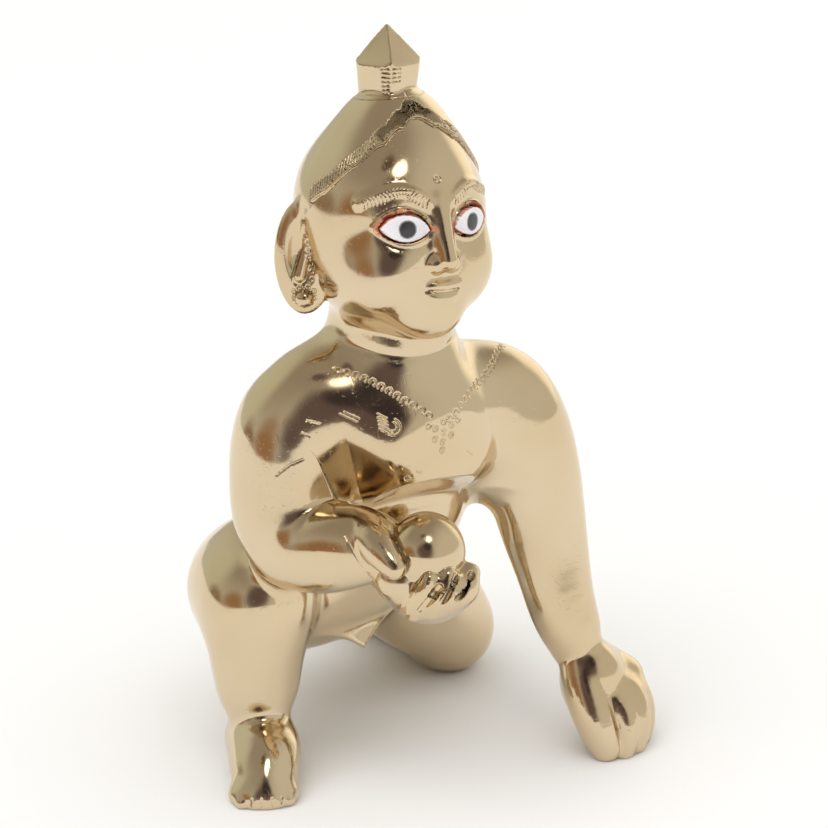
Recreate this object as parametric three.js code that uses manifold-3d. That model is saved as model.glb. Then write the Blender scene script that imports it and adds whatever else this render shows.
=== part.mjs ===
// A crawling krishna, cast in one piece of brass and polished, with enamel let into both eyes.
// Millimetres, +Z up. The figure faces -Y and its left side is towards +X.
// The origin is on the floor, under the middle of the figure's box.
import * as THREE from "three";
import { mergeVertices } from "three/addons/utils/BufferGeometryUtils.js";
import Module from "manifold-3d";

// Driving dimensions, in millimetres
const FIGURE_HEIGHT = 120; // floor to the tip of the topknot
const EYE_WIDTH = 7.6; // corner to corner of the enamel
const EYE_HEIGHT = 4.0; // enamel between the lids
const ENAMEL_DEPTH = 1.5; // from the enamel's flat back to the crown of its front
const ENAMEL_PROUD = 0.25; // crown of the enamel in front of the brass round it
const SOCKET_GAP = 0.3; // clearance between the enamel and the brass
const LID_THICKNESS = 0.8; // raised rim of brass round the eye

// Pose, proportions and carving are shares of the height, in form units
const FORM_HEIGHT = 97.4; // height of the form in its own units
const UNIT = FIGURE_HEIGHT / FORM_HEIGHT; // millimetres in one form unit

// Fineness of the surface
const FIGURE_TRIANGLES = 8800;
const SPAN_STEPS = 4; // straight bars between two stations of a limb
const BEND_STEPS = 6; // straight bars in a bent bar
const SHARP = 0.25; // blend width of a crisp crease
const NOTCH_ROUNDING = 0.7; // blend width of the rims of the notch in front of the right arm
const LIMB_BLEND = 2; // blend width between the bars of a limb
const FAR = 8; // wider than any blend, so what is farther off can't change the surface
const TINY = 1e-9;

// Joining and carving distances
function blend(a, b, width) {
  const overlap = Math.max(width - Math.abs(a - b), 0) / width;
  return Math.min(a, b) - (overlap * overlap * width) / 4;
}

function carve(solid, tool, width) {
  return -blend(-solid, tool, width);
}

function ramp(from, to, value) {
  const t = Math.min(Math.max((value - from) / (to - from), 0), 1);
  return t * t * (3 - 2 * t);
}

// Simple forms: each maker returns the distance to its surface, negative inside
function ball([cx, cy, cz], radius) {
  return (x, y, z) => Math.sqrt((x - cx) ** 2 + (y - cy) ** 2 + (z - cz) ** 2) - radius;
}

function egg([cx, cy, cz], [rx, ry, rz]) {
  return (x, y, z) => {
    const u = (x - cx) / rx;
    const v = (y - cy) / ry;
    const w = (z - cz) / rz;
    const share = Math.sqrt(u * u + v * v + w * w);
    const slope = Math.sqrt((u / rx) ** 2 + (v / ry) ** 2 + (w / rz) ** 2);
    return (share * (share - 1)) / Math.max(slope, TINY);
  };
}

// Two balls and the tangent cone between them
function bar([ax, ay, az], [bx, by, bz], startRadius, endRadius) {
  const dx = bx - ax;
  const dy = by - ay;
  const dz = bz - az;
  const span = dx * dx + dy * dy + dz * dz;
  const taper = startRadius - endRadius;
  const rise = span - taper * taper;
  return (x, y, z) => {
    const px = x - ax;
    const py = y - ay;
    const pz = z - az;
    const along = px * dx + py * dy + pz * dz;
    const beyond = along - span;
    const sideX = px * span - dx * along;
    const sideY = py * span - dy * along;
    const sideZ = pz * span - dz * along;
    const across = sideX * sideX + sideY * sideY + sideZ * sideZ;
    const before = along * along * span;
    const after = beyond * beyond * span;
    const lean = Math.sign(taper) * taper * taper * across;
    if (Math.sign(beyond) * rise * after > lean) return Math.sqrt(across + after) / span - endRadius;
    if (Math.sign(along) * rise * before < lean) return Math.sqrt(across + before) / span - startRadius;
    return (Math.sqrt((across * rise) / span) + along * taper) / span - startRadius;
  };
}

// A bar bent through its middle point, each station being x, y, z and radius
function bentBar(start, middle, end) {
  const pull = middle.map((value, i) => 2 * value - (start[i] + end[i]) / 2);
  const stations = [];
  for (let step = 0; step <= BEND_STEPS; step++) {
    const t = step / BEND_STEPS;
    const mix = (value, i) => (1 - t) ** 2 * value + 2 * t * (1 - t) * pull[i] + t * t * end[i];
    stations.push(start.map(mix));
  }
  const bars = barsBetween(stations);
  return (x, y, z) => {
    let d = Infinity;
    for (const part of bars) d = Math.min(d, part(x, y, z));
    return d;
  };
}

// A limb that runs smoothly through its stations of x, y, z and radius
function limb(stations, width) {
  const last = stations.length - 1;
  const before = stations[0].map((value, i) => 2 * value - stations[1][i]);
  const after = stations[last].map((value, i) => 2 * value - stations[last - 1][i]);
  const run = [before, ...stations, after];
  const smooth = [];
  for (let i = 1; i <= last; i++) {
    for (let step = 0; step < SPAN_STEPS; step++) {
      const t = step / SPAN_STEPS;
      const four = run.slice(i - 1, i + 3);
      smooth.push(run[i].map((_, k) => splineValue(...four.map((station) => station[k]), t)));
    }
  }
  smooth.push(stations[last]);
  const bars = barsBetween(smooth);
  return near(stations, (x, y, z) => {
    let d = bars[0](x, y, z);
    for (let i = 1; i < bars.length; i++) d = blend(d, bars[i](x, y, z), width);
    return d;
  });
}

function splineValue(a, b, c, d, t) {
  const bend = 2 * a - 5 * b + 4 * c - d;
  const twist = 3 * b - a - 3 * c + d;
  return (2 * b + (c - a) * t + bend * t ** 2 + twist * t ** 3) / 2;
}

function barsBetween(stations) {
  return stations.slice(1).map((to, i) => {
    const from = stations[i];
    return bar(from, to, from[3], to[3]);
  });
}

// Leaves a part's own sum out where a point is too far from it to matter
function near(stations, part) {
  const box = new THREE.Box3();
  for (const [x, y, z, radius = 0] of stations) {
    const round = new THREE.Sphere(new THREE.Vector3(x, y, z), radius);
    box.union(round.getBoundingBox(new THREE.Box3()));
  }
  const { center, radius } = box.getBoundingSphere(new THREE.Sphere());
  const rough = ball(center.toArray(), radius);
  return (x, y, z) => {
    const gap = rough(x, y, z);
    return gap > FAR ? gap : part(x, y, z);
  };
}

// A part moved to a centre and turned there
function placed(part, [cx, cy, cz], turn) {
  const [ax, ay, az, , bx, by, bz, , gx, gy, gz] = turn.elements;
  return (x, y, z) => {
    const u = x - cx;
    const v = y - cy;
    const w = z - cz;
    return part(u * ax + v * ay + w * az, u * bx + v * by + w * bz, u * gx + v * gy + w * gz);
  };
}

function turned(axis, degrees) {
  return new THREE.Matrix4().makeRotationAxis(axis, THREE.MathUtils.degToRad(degrees));
}

const X_AXIS = new THREE.Vector3(1, 0, 0);
const Y_AXIS = new THREE.Vector3(0, 1, 0);
const Z_AXIS = new THREE.Vector3(0, 0, 1);

// Head, in a frame of its own: origin in the middle of the skull, face towards -Y
const HEAD_CENTRE = [-2.4, 1.6, 74.5];
const HEAD_TURN = turned(Y_AXIS, 3).multiply(turned(X_AXIS, -5));
const HAIR_THICKNESS = 0.4;
const SCALLOP_DEPTH = 0.35;
const SCALLOP_DEGREES = 19;

// Height of the hair's edge at each angle from the middle of the forehead
const HAIR_EDGE = [
  [0, 12.6],
  [24, 11.2],
  [43, 9.4],
  [59, 7.2],
  [72, 4.8],
  [90, 2.0],
  [105, -3.5],
  [130, -8.5],
  [180, -9.5],
];
const SCALLOPS_END = 88;

function hairEdge(degrees) {
  const i = Math.max(HAIR_EDGE.findIndex(([angle]) => angle >= degrees), 1);
  const [fromAngle, fromHeight] = HAIR_EDGE[i - 1];
  const [toAngle, toHeight] = HAIR_EDGE[i];
  const height = fromHeight + ((toHeight - fromHeight) * (degrees - fromAngle)) / (toAngle - fromAngle);
  if (degrees > SCALLOPS_END) return height;
  return height + SCALLOP_DEPTH * Math.abs(Math.sin((degrees / SCALLOP_DEGREES) * Math.PI));
}

// Eyes, mirrored about the middle of the face
const EYE_CENTRE = [4.75, -10.75, 0];
const EYE_DEGREES = 21; // that an eye is turned outwards
const EYE_TURN = turned(Z_AXIS, EYE_DEGREES);
const EYE_TILT = 3.5; // degrees that the outer corner is raised
const EYE_CURVE = 7.5; // radius of the eye's front
const EYE_BED = 0.2; // front of the brass round the eye, before the eye's centre
const UPPER_SHARE = 0.56; // of the eye's height, above the line through its corners

function eyeSurface(x, z) {
  return EYE_CURVE - Math.sqrt(EYE_CURVE ** 2 - x ** 2 - z ** 2);
}

function lids() {
  const rim = LID_THICKNESS / 2 / UNIT;
  const corner = (EYE_WIDTH / 2 + SOCKET_GAP) / UNIT + rim;
  const top = (EYE_HEIGHT * UPPER_SHARE + SOCKET_GAP) / UNIT + rim / 2;
  const bottom = (EYE_HEIGHT * (1 - UPPER_SHARE) + SOCKET_GAP) / UNIT + rim / 2;
  const raise = corner * Math.tan(THREE.MathUtils.degToRad(EYE_TILT));
  const inner = [-corner, eyeSurface(corner, 0), -raise, rim * 0.8];
  const outer = [corner, eyeSurface(corner, 0), raise, rim * 0.8];
  const upper = bentBar(inner, [0, eyeSurface(0, top) - rim / 2, top, rim * 1.2], outer);
  const lower = bentBar(inner, [0, eyeSurface(0, bottom) - rim / 4, -bottom, rim], outer);
  return (x, y, z) => Math.min(upper(x, y, z), lower(x, y, z));
}

function eyeBed() {
  const depth = 3.5;
  const bed = egg([0, depth - EYE_BED, 0], [4.5, depth, 3.1]);
  const rims = lids();
  return near([[0, 3, 0, 5.5]], (x, y, z) => blend(bed(x, y, z), rims(x, y, z), SHARP));
}

function face() {
  const orbit = placed(egg([0, 0, 0], [4.0, 2.2, 2.4]), [4.8, -12.2, 0.4], EYE_TURN);
  const bed = placed(eyeBed(), EYE_CENTRE, EYE_TURN);
  const brow = bentBar([1.5, -11.1, 3.2, 0.3], [4.9, -9.9, 4.7, 0.5], [8.9, -6.9, 3.1, 0.3]);
  const bridge = bar([0, -10.8, 3.2], [0, -12.9, -3.9], 0.6, 1.15);
  const nostril = ball([1.3, -11.9, -4.5], 0.95);
  const muzzle = egg([0, -9.3, -7.8], [4.0, 2.5, 3.2]);
  const upperLip = bentBar([-0.1, -12.0, -7.15, 0.55], [1.5, -11.8, -7.1, 0.55], [3.0, -10.7, -7.5, 0.3]);
  const lowerLip = bentBar([-0.1, -11.9, -8.6, 0.7], [1.3, -11.7, -8.5, 0.6], [2.7, -10.7, -7.9, 0.3]);
  const mouth = bentBar([-0.1, -12.6, -7.8, 0.16], [1.5, -12.2, -7.75, 0.16], [3.1, -11.0, -7.55, 0.16]);
  return (skin, x, y, z) => {
    const side = Math.abs(x);
    let d = blend(skin, muzzle(x, y, z), 2);
    d = carve(d, orbit(side, y, z), 1.6);
    d = blend(d, bed(side, y, z), 0.5);
    d = blend(d, brow(side, y, z), 0.8);
    d = blend(d, bridge(x, y, z), 1.5);
    d = blend(d, nostril(side, y, z), 0.7);
    d = blend(d, upperLip(side, y, z), 0.5);
    d = blend(d, lowerLip(side, y, z), 0.5);
    return carve(d, mouth(side, y, z), SHARP);
  };
}

function ear() {
  const plate = egg([0, 0, 0], [3.7, 1.3, 7.2]);
  const bowl = egg([0.2, -1.4, 0.8], [2.1, 1.1, 4.4]);
  const fold = bar([-0.6, -0.8, 2.4], [0.6, -0.9, -2.2], 0.5, 0.7);
  const stud = ball([0.1, -0.9, -5.0], 1.15);
  const whole = near([[0, 0, 0, 7]], (x, y, z) => {
    let d = carve(plate(x, y, z), bowl(x, y, z), 0.5);
    d = blend(d, fold(x, y, z), 0.4);
    return blend(d, stud(x, y, z), 0.3);
  });
  return placed(whole, [11.0, 2.6, -4.8], turned(Z_AXIS, 32));
}

// Four-sided bud that the hair is tied up into
function topknot() {
  const base = 12.0;
  const half = 2.75; // of its width at the base
  const spread = 0.075;
  const corner = 1.5;
  const tip = 23.54;
  const taper = 0.66;
  const steepness = 1 / Math.sqrt(1 + taper ** 2);
  const whole = near([[0, 0, 18, 8]], (x, y, z) => {
    const flat = half - corner + (z - base) * spread;
    const beyondX = Math.abs(x) - flat;
    const beyondY = Math.abs(y) - flat;
    const outside = Math.hypot(Math.max(beyondX, 0), Math.max(beyondY, 0));
    const post = outside + Math.min(Math.max(beyondX, beyondY), 0) - corner;
    const roof = (Math.max(Math.abs(x), Math.abs(y)) + (z - tip) * taper) * steepness;
    return carve(Math.max(post, base - z), -roof, SHARP);
  });
  return placed(whole, [0, 0.6, 0], turned(Z_AXIS, 20));
}

function head() {
  const skull = egg([0, 0.2, 0.2], [11.2, 11.6, 12.2]);
  const crown = bar([0.2, 0.2, 1.0], [0.6, 0.4, 9.2], 10.7, 6.6);
  const jaw = egg([0, -1.8, -6.6], [9.4, 9.0, 8.2]);
  const cheek = egg([5.0, -6.0, -6.0], [4.8, 5.0, 5.0]);
  const chin = egg([0, -8.4, -11.2], [3.8, 3.2, 3.0]);
  const features = face();
  const oneEar = ear();
  const knot = topknot();
  const whole = near([[0, 0, 4, 22]], (x, y, z) => {
    const side = Math.abs(x);
    let d = blend(skull(x, y, z), crown(x, y, z), 3);
    d = blend(d, jaw(x, y, z), 4);
    d = blend(d, cheek(side, y, z), 3);
    d = blend(d, chin(x, y, z), 3);
    const degrees = THREE.MathUtils.radToDeg(Math.atan2(side, -y));
    const overEdge = z - hairEdge(degrees);
    d -= HAIR_THICKNESS * ramp(-SHARP, SHARP, overEdge) * ramp(-14, -12, z);
    d = features(d, x, y, z);
    d = blend(d, oneEar(side, y, z), 0.8);
    return blend(d, knot(x, y, z), 0.35);
  });
  return placed(whole, HEAD_CENTRE, HEAD_TURN);
}

// Trunk: the chest is flat in front, with a sharp lower edge over the belly
function torso() {
  const chest = placed(egg([0, 0, 0], [13.2, 11.0, 11.0]), [-1.3, 0.8, 46.8], turned(Y_AXIS, 6));
  const shoulders = placed(egg([0, 0, 0], [12.6, 7.2, 5.6]), [-2.2, 3.0, 51.6], turned(Y_AXIS, 6));
  const underArm = bar([9.0, 0.5, 43.0], [11.2, -0.6, 37.6], 5.0, 3.6);
  const neck = bar([-2.3, 2.2, 66], [-2.2, 1.8, 56], 7.2, 8.4);
  const belly = egg([-0.8, 7.8, 35], [11.6, 12.0, 10.5]);
  const hips = egg([-0.6, 19.5, 22], [13.0, 11.0, 11.0]);
  const buttock = ball([6.3, 25, 19.6], 8.6);
  const fold = loincloth();
  const edgeHeight = 42.3; // lower edge of the breast
  const edgeSlope = 0.07;
  const underSlope = 1.2;
  const underScale = 1 / Math.sqrt(1 + underSlope ** 2);
  return near([[0, 5, 50, 18], [0, 20, 22, 20]], (x, y, z) => {
    let d = blend(chest(x, y, z), shoulders(x, y, z), 4);
    d = blend(d, underArm(x, y, z), 2);
    const front = y + 9.3 + (z - 48) * 0.1;
    d = carve(d, front, 1.0);
    const under = (front - (edgeHeight - z - x * edgeSlope) * underSlope) * underScale;
    d = carve(d, under, SHARP);
    const rolls = 0.3 * (bump(z - y * 0.25, 62.2, 0.6) + bump(z - y * 0.25, 59.6, 0.6)) * ramp(1, -3, y);
    d = blend(d, neck(x, y, z) + rolls, 3);
    d = blend(d, belly(x, y, z), 1.5 + 5 * ramp(-3, 6, y));
    d = blend(d, hips(x, y, z), 6);
    d = blend(d, buttock(Math.abs(x + 0.6), y, z), 2);
    return blend(d, fold(x, y, z), 0.8);
  });
}

// Pointed end of the loincloth, a flat tongue that hangs between the thighs
function loincloth() {
  const [tipX, tipY, tipZ] = [-1.6, 10.6, 12.2];
  const thickness = 1.3;
  const length = 5;
  const spread = 1.4;
  const rearLean = 0.35;
  const steepness = 1 / Math.sqrt(1 + spread ** 2);
  return near([[-1.6, 11, 16, 7]], (x, y, z) => {
    const rise = z - tipZ;
    const sides = (Math.abs(x - tipX) - rise * spread) * steepness;
    const slab = Math.abs(y - tipY - rise * rearLean) - thickness;
    return carve(Math.max(sides, rise - length), -slab, 0.8);
  });
}

function bump(value, middle, width) {
  return Math.exp(-(((value - middle) / width) ** 2));
}

// Right arm: the elbow hangs and the forearm comes forward with the hand held up
function rightUpperArm() {
  const stations = [
    [-12.0, 3.8, 51.2, 6.7],
    [-15.6, 4.4, 46.6, 6.6],
    [-16.9, 3.6, 39.0, 6.1],
    [-16.8, 1.8, 34.0, 5.7],
  ];
  return limb(stations, LIMB_BLEND);
}

function rightForearm() {
  const stations = [
    [-16.8, 1.6, 33.4, 5.4],
    [-15.0, -4.4, 34.6, 4.7],
    [-11.8, -9.6, 36.2, 3.6],
  ];
  return limb(stations, LIMB_BLEND);
}

// Notch with two flat faces, filed between the right arm and the breast
function armNotch() {
  const foot = new THREE.Vector3(-9.3, -2.6, 38.6);
  const peak = new THREE.Vector3(-13.3, -4.9, 49.7);
  const armRim = new THREE.Vector3(-16.2, -3.4, 46.6);
  const breastRim = new THREE.Vector3(-7.9, -7.8, 43.4);
  const heel = new THREE.Vector3(-13.0, -6.0, 39.5);
  const lowest = 38.3;
  const [arm, breast] = [armRim, breastRim].map((rim) => {
    const plane = new THREE.Plane().setFromCoplanarPoints(foot, peak, rim);
    if (plane.normal.y > 0) plane.negate(); // both faces look forwards
    return [...plane.normal.toArray(), plane.constant];
  });
  const runX = heel.x - armRim.x;
  const runZ = heel.z - armRim.z;
  const run = Math.hypot(runX, runZ);
  return (x, y, z) => {
    const armSide = arm[0] * x + arm[1] * y + arm[2] * z + arm[3];
    const breastSide = breast[0] * x + breast[1] * y + breast[2] * z + breast[3];
    const pastRim = ((x - armRim.x) * runZ - (z - armRim.z) * runX) / run;
    return Math.max(-armSide, -breastSide, pastRim, lowest - z);
  };
}

const CROOK_SWELL = 0.07; // how much thicker a finger is at its crook

// Middle station of a crooked finger: half way from start to end, and out by a shift
function crookOf(start, end, shift) {
  return start.map((value, i) => (value + end[i]) / 2 + (shift[i] ?? CROOK_SWELL));
}

// Right hand with its ball of butter, in a frame turned half way round to the right and tipped down
const SWEET_CENTRE = [-7.3, -13.8, 35.6];
const SWEET_RADIUS = 5.0;
const HAND_TURN = turned(Z_AXIS, -33).multiply(turned(X_AXIS, -20));

function rightHand() {
  const sweet = ball([0, 0, 0], SWEET_RADIUS);
  const palm = egg([0.4, 1.6, -4.6], [5.6, 3.4, 4.4]);
  const heel = bar([-4.6, 4.6, -1.6], [-3.0, -0.4, -3.4], 3.4, 3.1);
  const thumb = bentBar([-7.2, -0.2, 2.4, 2.4], [-6.0, -2.9, 0.8, 2.2], [-3.8, -4.6, -1.8, 1.5]);
  // Across and up, for each finger from the first to the little one
  const knuckles = [
    [-1.5, -7.3],
    [0.9, -6.9],
    [2.9, -6.1],
    [4.5, -5.1],
  ];
  const tips = [
    [0.4, -3.2],
    [2.7, -2.7],
    [4.5, -2.2],
    [5.7, -2.6],
  ];
  const knuckleDepth = -0.8;
  const fingers = knuckles.map(([across, up], i) => {
    const [tipAcross, tipUp] = tips[i];
    const tipDepth = -0.1 - Math.sqrt(Math.max(SWEET_RADIUS ** 2 - tipAcross ** 2 - tipUp ** 2, 0));
    const start = [across, knuckleDepth, up, 1.3];
    const end = [tipAcross, tipDepth, tipUp, 1.05];
    return bentBar(start, crookOf(start, end, [-0.1, -0.7, -0.3]), end);
  });
  const web = egg([2.2, -0.5, -4.6], [4.3, 4.0, 2.9]);
  const slitRadius = 0.5;
  const slits = [
    bar([-0.5, -3.3, -7.2], [1.7, -4.7, -4.2], slitRadius, slitRadius),
    bar([1.9, -4.3, -6.6], [3.8, -3.9, -2.8], slitRadius, slitRadius),
    bar([4.0, -4.0, -5.7], [5.8, -1.8, -2.6], slitRadius, slitRadius),
  ];
  const whole = near([[0, 0, -2, 12]], (x, y, z) => {
    let hand = blend(palm(x, y, z), heel(x, y, z), 1.5);
    hand = blend(hand, web(x, y, z), 1.0);
    for (const finger of fingers) hand = blend(hand, finger(x, y, z), 1.0);
    for (const slit of slits) hand = carve(hand, slit(x, y, z), SHARP);
    hand = blend(hand, thumb(x, y, z), 0.3);
    return blend(sweet(x, y, z), hand, 0.2);
  });
  return placed(whole, SWEET_CENTRE, HAND_TURN);
}

// Left arm stands straight down to the floor
function leftArm() {
  const stations = [
    [11.2, 0.8, 48.6, 6.6],
    [14.4, -0.6, 44.6, 6.5],
    [17.0, -2.0, 36.5, 5.7],
    [18.3, -3.6, 28.0, 4.6],
    [19.1, -6.2, 20.0, 3.7],
    [20.0, -8.0, 14.5, 2.9],
  ];
  return limb(stations, LIMB_BLEND);
}

function leftHand() {
  const back = placed(egg([0, 0, 0], [4.6, 4.2, 6.6]), [22.2, -9.8, 8.4], turned(Y_AXIS, -16));
  const side = egg([24.0, -11.0, 5.8], [4.8, 4.0, 4.6]);
  const thumb = bentBar([19.6, -9.8, 11.4, 2.5], [19.9, -12.3, 6.4, 2.9], [20.9, -14.3, 1.5, 2.1]);
  const outerEdge = bar([20.6, -7.6, 13.4], [27.0, -8.8, 7.8], 2.9, 3.4);
  const fill = egg([24.6, -11.0, 4.8], [4.6, 4.0, 5.2]);
  const knuckles = [
    [23.2, -13.4, 6.8, 1.8],
    [25.6, -12.6, 7.2, 1.8],
    [27.6, -10.8, 7.4, 1.8],
    [28.6, -8.6, 7.2, 1.8],
  ];
  const tips = [
    [23.2, -15.2, 0.9, 1.5],
    [25.4, -14.7, 0.9, 1.5],
    [27.6, -13.0, 1.0, 1.5],
    [29.0, -10.6, 1.2, 1.4],
  ];
  const fingers = knuckles.map((knuckle, i) => {
    const tip = tips[i];
    return bentBar(knuckle, crookOf(knuckle, tip, [0.5, -0.7, 0.5]), tip);
  });
  return near([[24, -11, 7, 12]], (x, y, z) => {
    let d = blend(back(x, y, z), side(x, y, z), 1);
    d = blend(d, outerEdge(x, y, z), 1);
    d = blend(d, fill(x, y, z), 1);
    for (const finger of fingers) d = blend(d, finger(x, y, z), 0.8);
    return blend(d, thumb(x, y, z), 0.35);
  });
}

// Toes as a low ridge across the front of a foot, notched between
function toes(start, end, radius) {
  const count = 5;
  const bulge = 0.5; // of the middle toe in front of the others
  const balls = [];
  for (let i = 0; i < count; i++) {
    const t = i / (count - 1);
    const [x, y, z] = start.map((value, k) => value + (end[k] - value) * t);
    balls.push(ball([x, y - bulge * Math.sin(t * Math.PI), z], radius));
  }
  return (x, y, z) => {
    let d = Infinity;
    for (const toe of balls) d = Math.min(d, toe(x, y, z));
    return d;
  };
}

// Right leg: the knee is up and the foot is flat on the floor
function rightLeg() {
  const hipToKnee = [
    [-7.0, 18.5, 20.5, 9.3],
    [-14.2, 16.0, 22.0, 8.4],
    [-18.0, 9.4, 24.0, 6.6],
  ];
  const kneeToAnkle = [
    [-18.0, 9.0, 23.5, 6.3],
    [-18.4, 9.2, 16.0, 5.3],
    [-18.6, 8.8, 9.5, 4.1],
  ];
  const heelToToes = [
    [-17.4, 11.5, 3.2, 3.7],
    [-19.8, 5.2, 4.2, 3.9],
    [-22.7, 0.4, 1.4, 3.3],
  ];
  const thigh = limb(hipToKnee, LIMB_BLEND);
  const shin = limb(kneeToAnkle, LIMB_BLEND);
  const foot = limb(heelToToes, LIMB_BLEND);
  const instep = placed(egg([0, 0, 0], [4.5, 2.8, 2.0]), [-23.3, -0.5, 1.0], turned(Z_AXIS, -28));
  const row = toes([-26.6, -0.6, 0.7], [-21.2, -3.3, 0.8], 0.85);
  return near([[-16, 10, 14, 24]], (x, y, z) => {
    let d = blend(thigh(x, y, z), shin(x, y, z), 2.5);
    let sole = blend(foot(x, y, z), instep(x, y, z), 1.5);
    sole = blend(sole, row(x, y, z), 0.4);
    return blend(d, sole, 1.6);
  });
}

// Left leg: knee and shin lie on the floor, and the foot is turned sole up behind
function leftLeg() {
  const hipToKnee = [
    [7.0, 22.0, 20.0, 9.0],
    [13.6, 20.9, 12.8, 7.2],
    [19.6, 20.9, 6.4, 5.9],
  ];
  const kneeToAnkle = [
    [19.6, 21.4, 5.4, 5.7],
    [18.4, 30.0, 6.3, 4.8],
    [16.6, 36.5, 5.4, 3.7],
  ];
  const heelToToes = [
    [16.6, 36.5, 5.2, 3.4],
    [15.8, 41.0, 3.5, 3.0],
    [15.3, 44.0, 2.1, 2.6],
  ];
  const thigh = limb(hipToKnee, LIMB_BLEND);
  const shin = limb(kneeToAnkle, LIMB_BLEND);
  const foot = limb(heelToToes, LIMB_BLEND);
  const row = toes([12.6, 46.2, 1.1], [18.1, 46.6, 1.1], 1.0);
  return near([[12, 30, 10, 24]], (x, y, z) => {
    let d = blend(thigh(x, y, z), shin(x, y, z), 2);
    d = blend(d, foot(x, y, z), 1.5);
    return blend(d, row(x, y, z), 0.4);
  });
}

// Whole figure, before the floor and the eye sockets are cut
function figureForm() {
  const trunk = torso();
  const upperArm = rightUpperArm();
  const notch = armNotch();
  const joined = [
    [rightForearm(), 1.0],
    [rightLeg(), 2.5],
    [leftLeg(), 3.0],
    [leftArm(), 3.5],
    [head(), 1.4],
    [rightHand(), 0.5],
    [leftHand(), 1.2],
  ];
  return (x, y, z) => {
    let d = blend(trunk(x, y, z), upperArm(x, y, z), 4.5);
    d = carve(d, notch(x, y, z), NOTCH_ROUNDING);
    for (const [part, width] of joined) d = blend(d, part(x, y, z), width);
    return d;
  };
}

// Surface of a form: lines of a grid, closer together where there is carving
const FORM_BOX = { x: [-31, 34], y: [-23, 51], z: [-5, 101] };
const BODY_STEP = 1.0;
const CARVING_STEP = 0.6;
const FACE_STEP = 0.45;
const FACE_HEIGHTS = [64, 81]; // from below the chin to above the brows
const CARVED_HEIGHTS = [
  [-5, 10],
  [26, 52],
  [86, 101],
]; // hands and feet, the raised hand and the notch, and the topknot
const CARVED_WIDTH = [-15, 11]; // both ears and all between them
const CARVED_DEPTH = -5; // what is in front of this
const BLOCK = 5; // grid steps in a block that is skipped when it is far from the surface
const BLOCK_SLACK = 1.2; // how much faster than a true distance the form may change
const LEAST_SHARE = 0.02; // of a grid edge, between a corner of the mesh and a grid point

function gridLines([from, to], stepAt) {
  const lines = [from];
  while (lines[lines.length - 1] < to) {
    const last = lines[lines.length - 1];
    lines.push(last + stepAt(last));
  }
  return Float64Array.from(lines);
}

function within(value, [from, to]) {
  return value > from && value < to;
}

function widthStep(x) {
  return within(x, CARVED_WIDTH) ? CARVING_STEP : BODY_STEP;
}

function depthStep(y) {
  return y < CARVED_DEPTH ? FACE_STEP : BODY_STEP;
}

function heightStep(z) {
  if (within(z, FACE_HEIGHTS)) return FACE_STEP;
  return CARVED_HEIGHTS.some((range) => within(z, range)) ? CARVING_STEP : BODY_STEP;
}

function sampleForm(form, xs, ys, zs) {
  const values = new Float32Array(xs.length * ys.length * zs.length);
  const at = (i, j, k) => (k * ys.length + j) * xs.length + i;
  for (let k = 0; k < zs.length; k += BLOCK) {
    for (let j = 0; j < ys.length; j += BLOCK) {
      for (let i = 0; i < xs.length; i += BLOCK) {
        const i1 = Math.min(i + BLOCK, xs.length);
        const j1 = Math.min(j + BLOCK, ys.length);
        const k1 = Math.min(k + BLOCK, zs.length);
        const halfX = (xs[i1 - 1] - xs[i]) / 2;
        const halfY = (ys[j1 - 1] - ys[j]) / 2;
        const halfZ = (zs[k1 - 1] - zs[k]) / 2;
        const middle = form(xs[i] + halfX, ys[j] + halfY, zs[k] + halfZ);
        const reach = Math.sqrt(halfX ** 2 + halfY ** 2 + halfZ ** 2) * BLOCK_SLACK + BODY_STEP * 2;
        const skipped = Math.abs(middle) > reach;
        for (let c = k; c < k1; c++) {
          for (let b = j; b < j1; b++) {
            for (let a = i; a < i1; a++) {
              values[at(a, b, c)] = skipped ? middle : form(xs[a], ys[b], zs[c]);
            }
          }
        }
      }
    }
  }
  return values;
}

// Six tetrahedra round one diagonal of a grid cell, as corner numbers whose bits are x, y and z
const CELL_TETRAHEDRA = [
  [0, 1, 3, 7],
  [0, 3, 2, 7],
  [0, 2, 6, 7],
  [0, 6, 4, 7],
  [0, 4, 5, 7],
  [0, 5, 1, 7],
];

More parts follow.
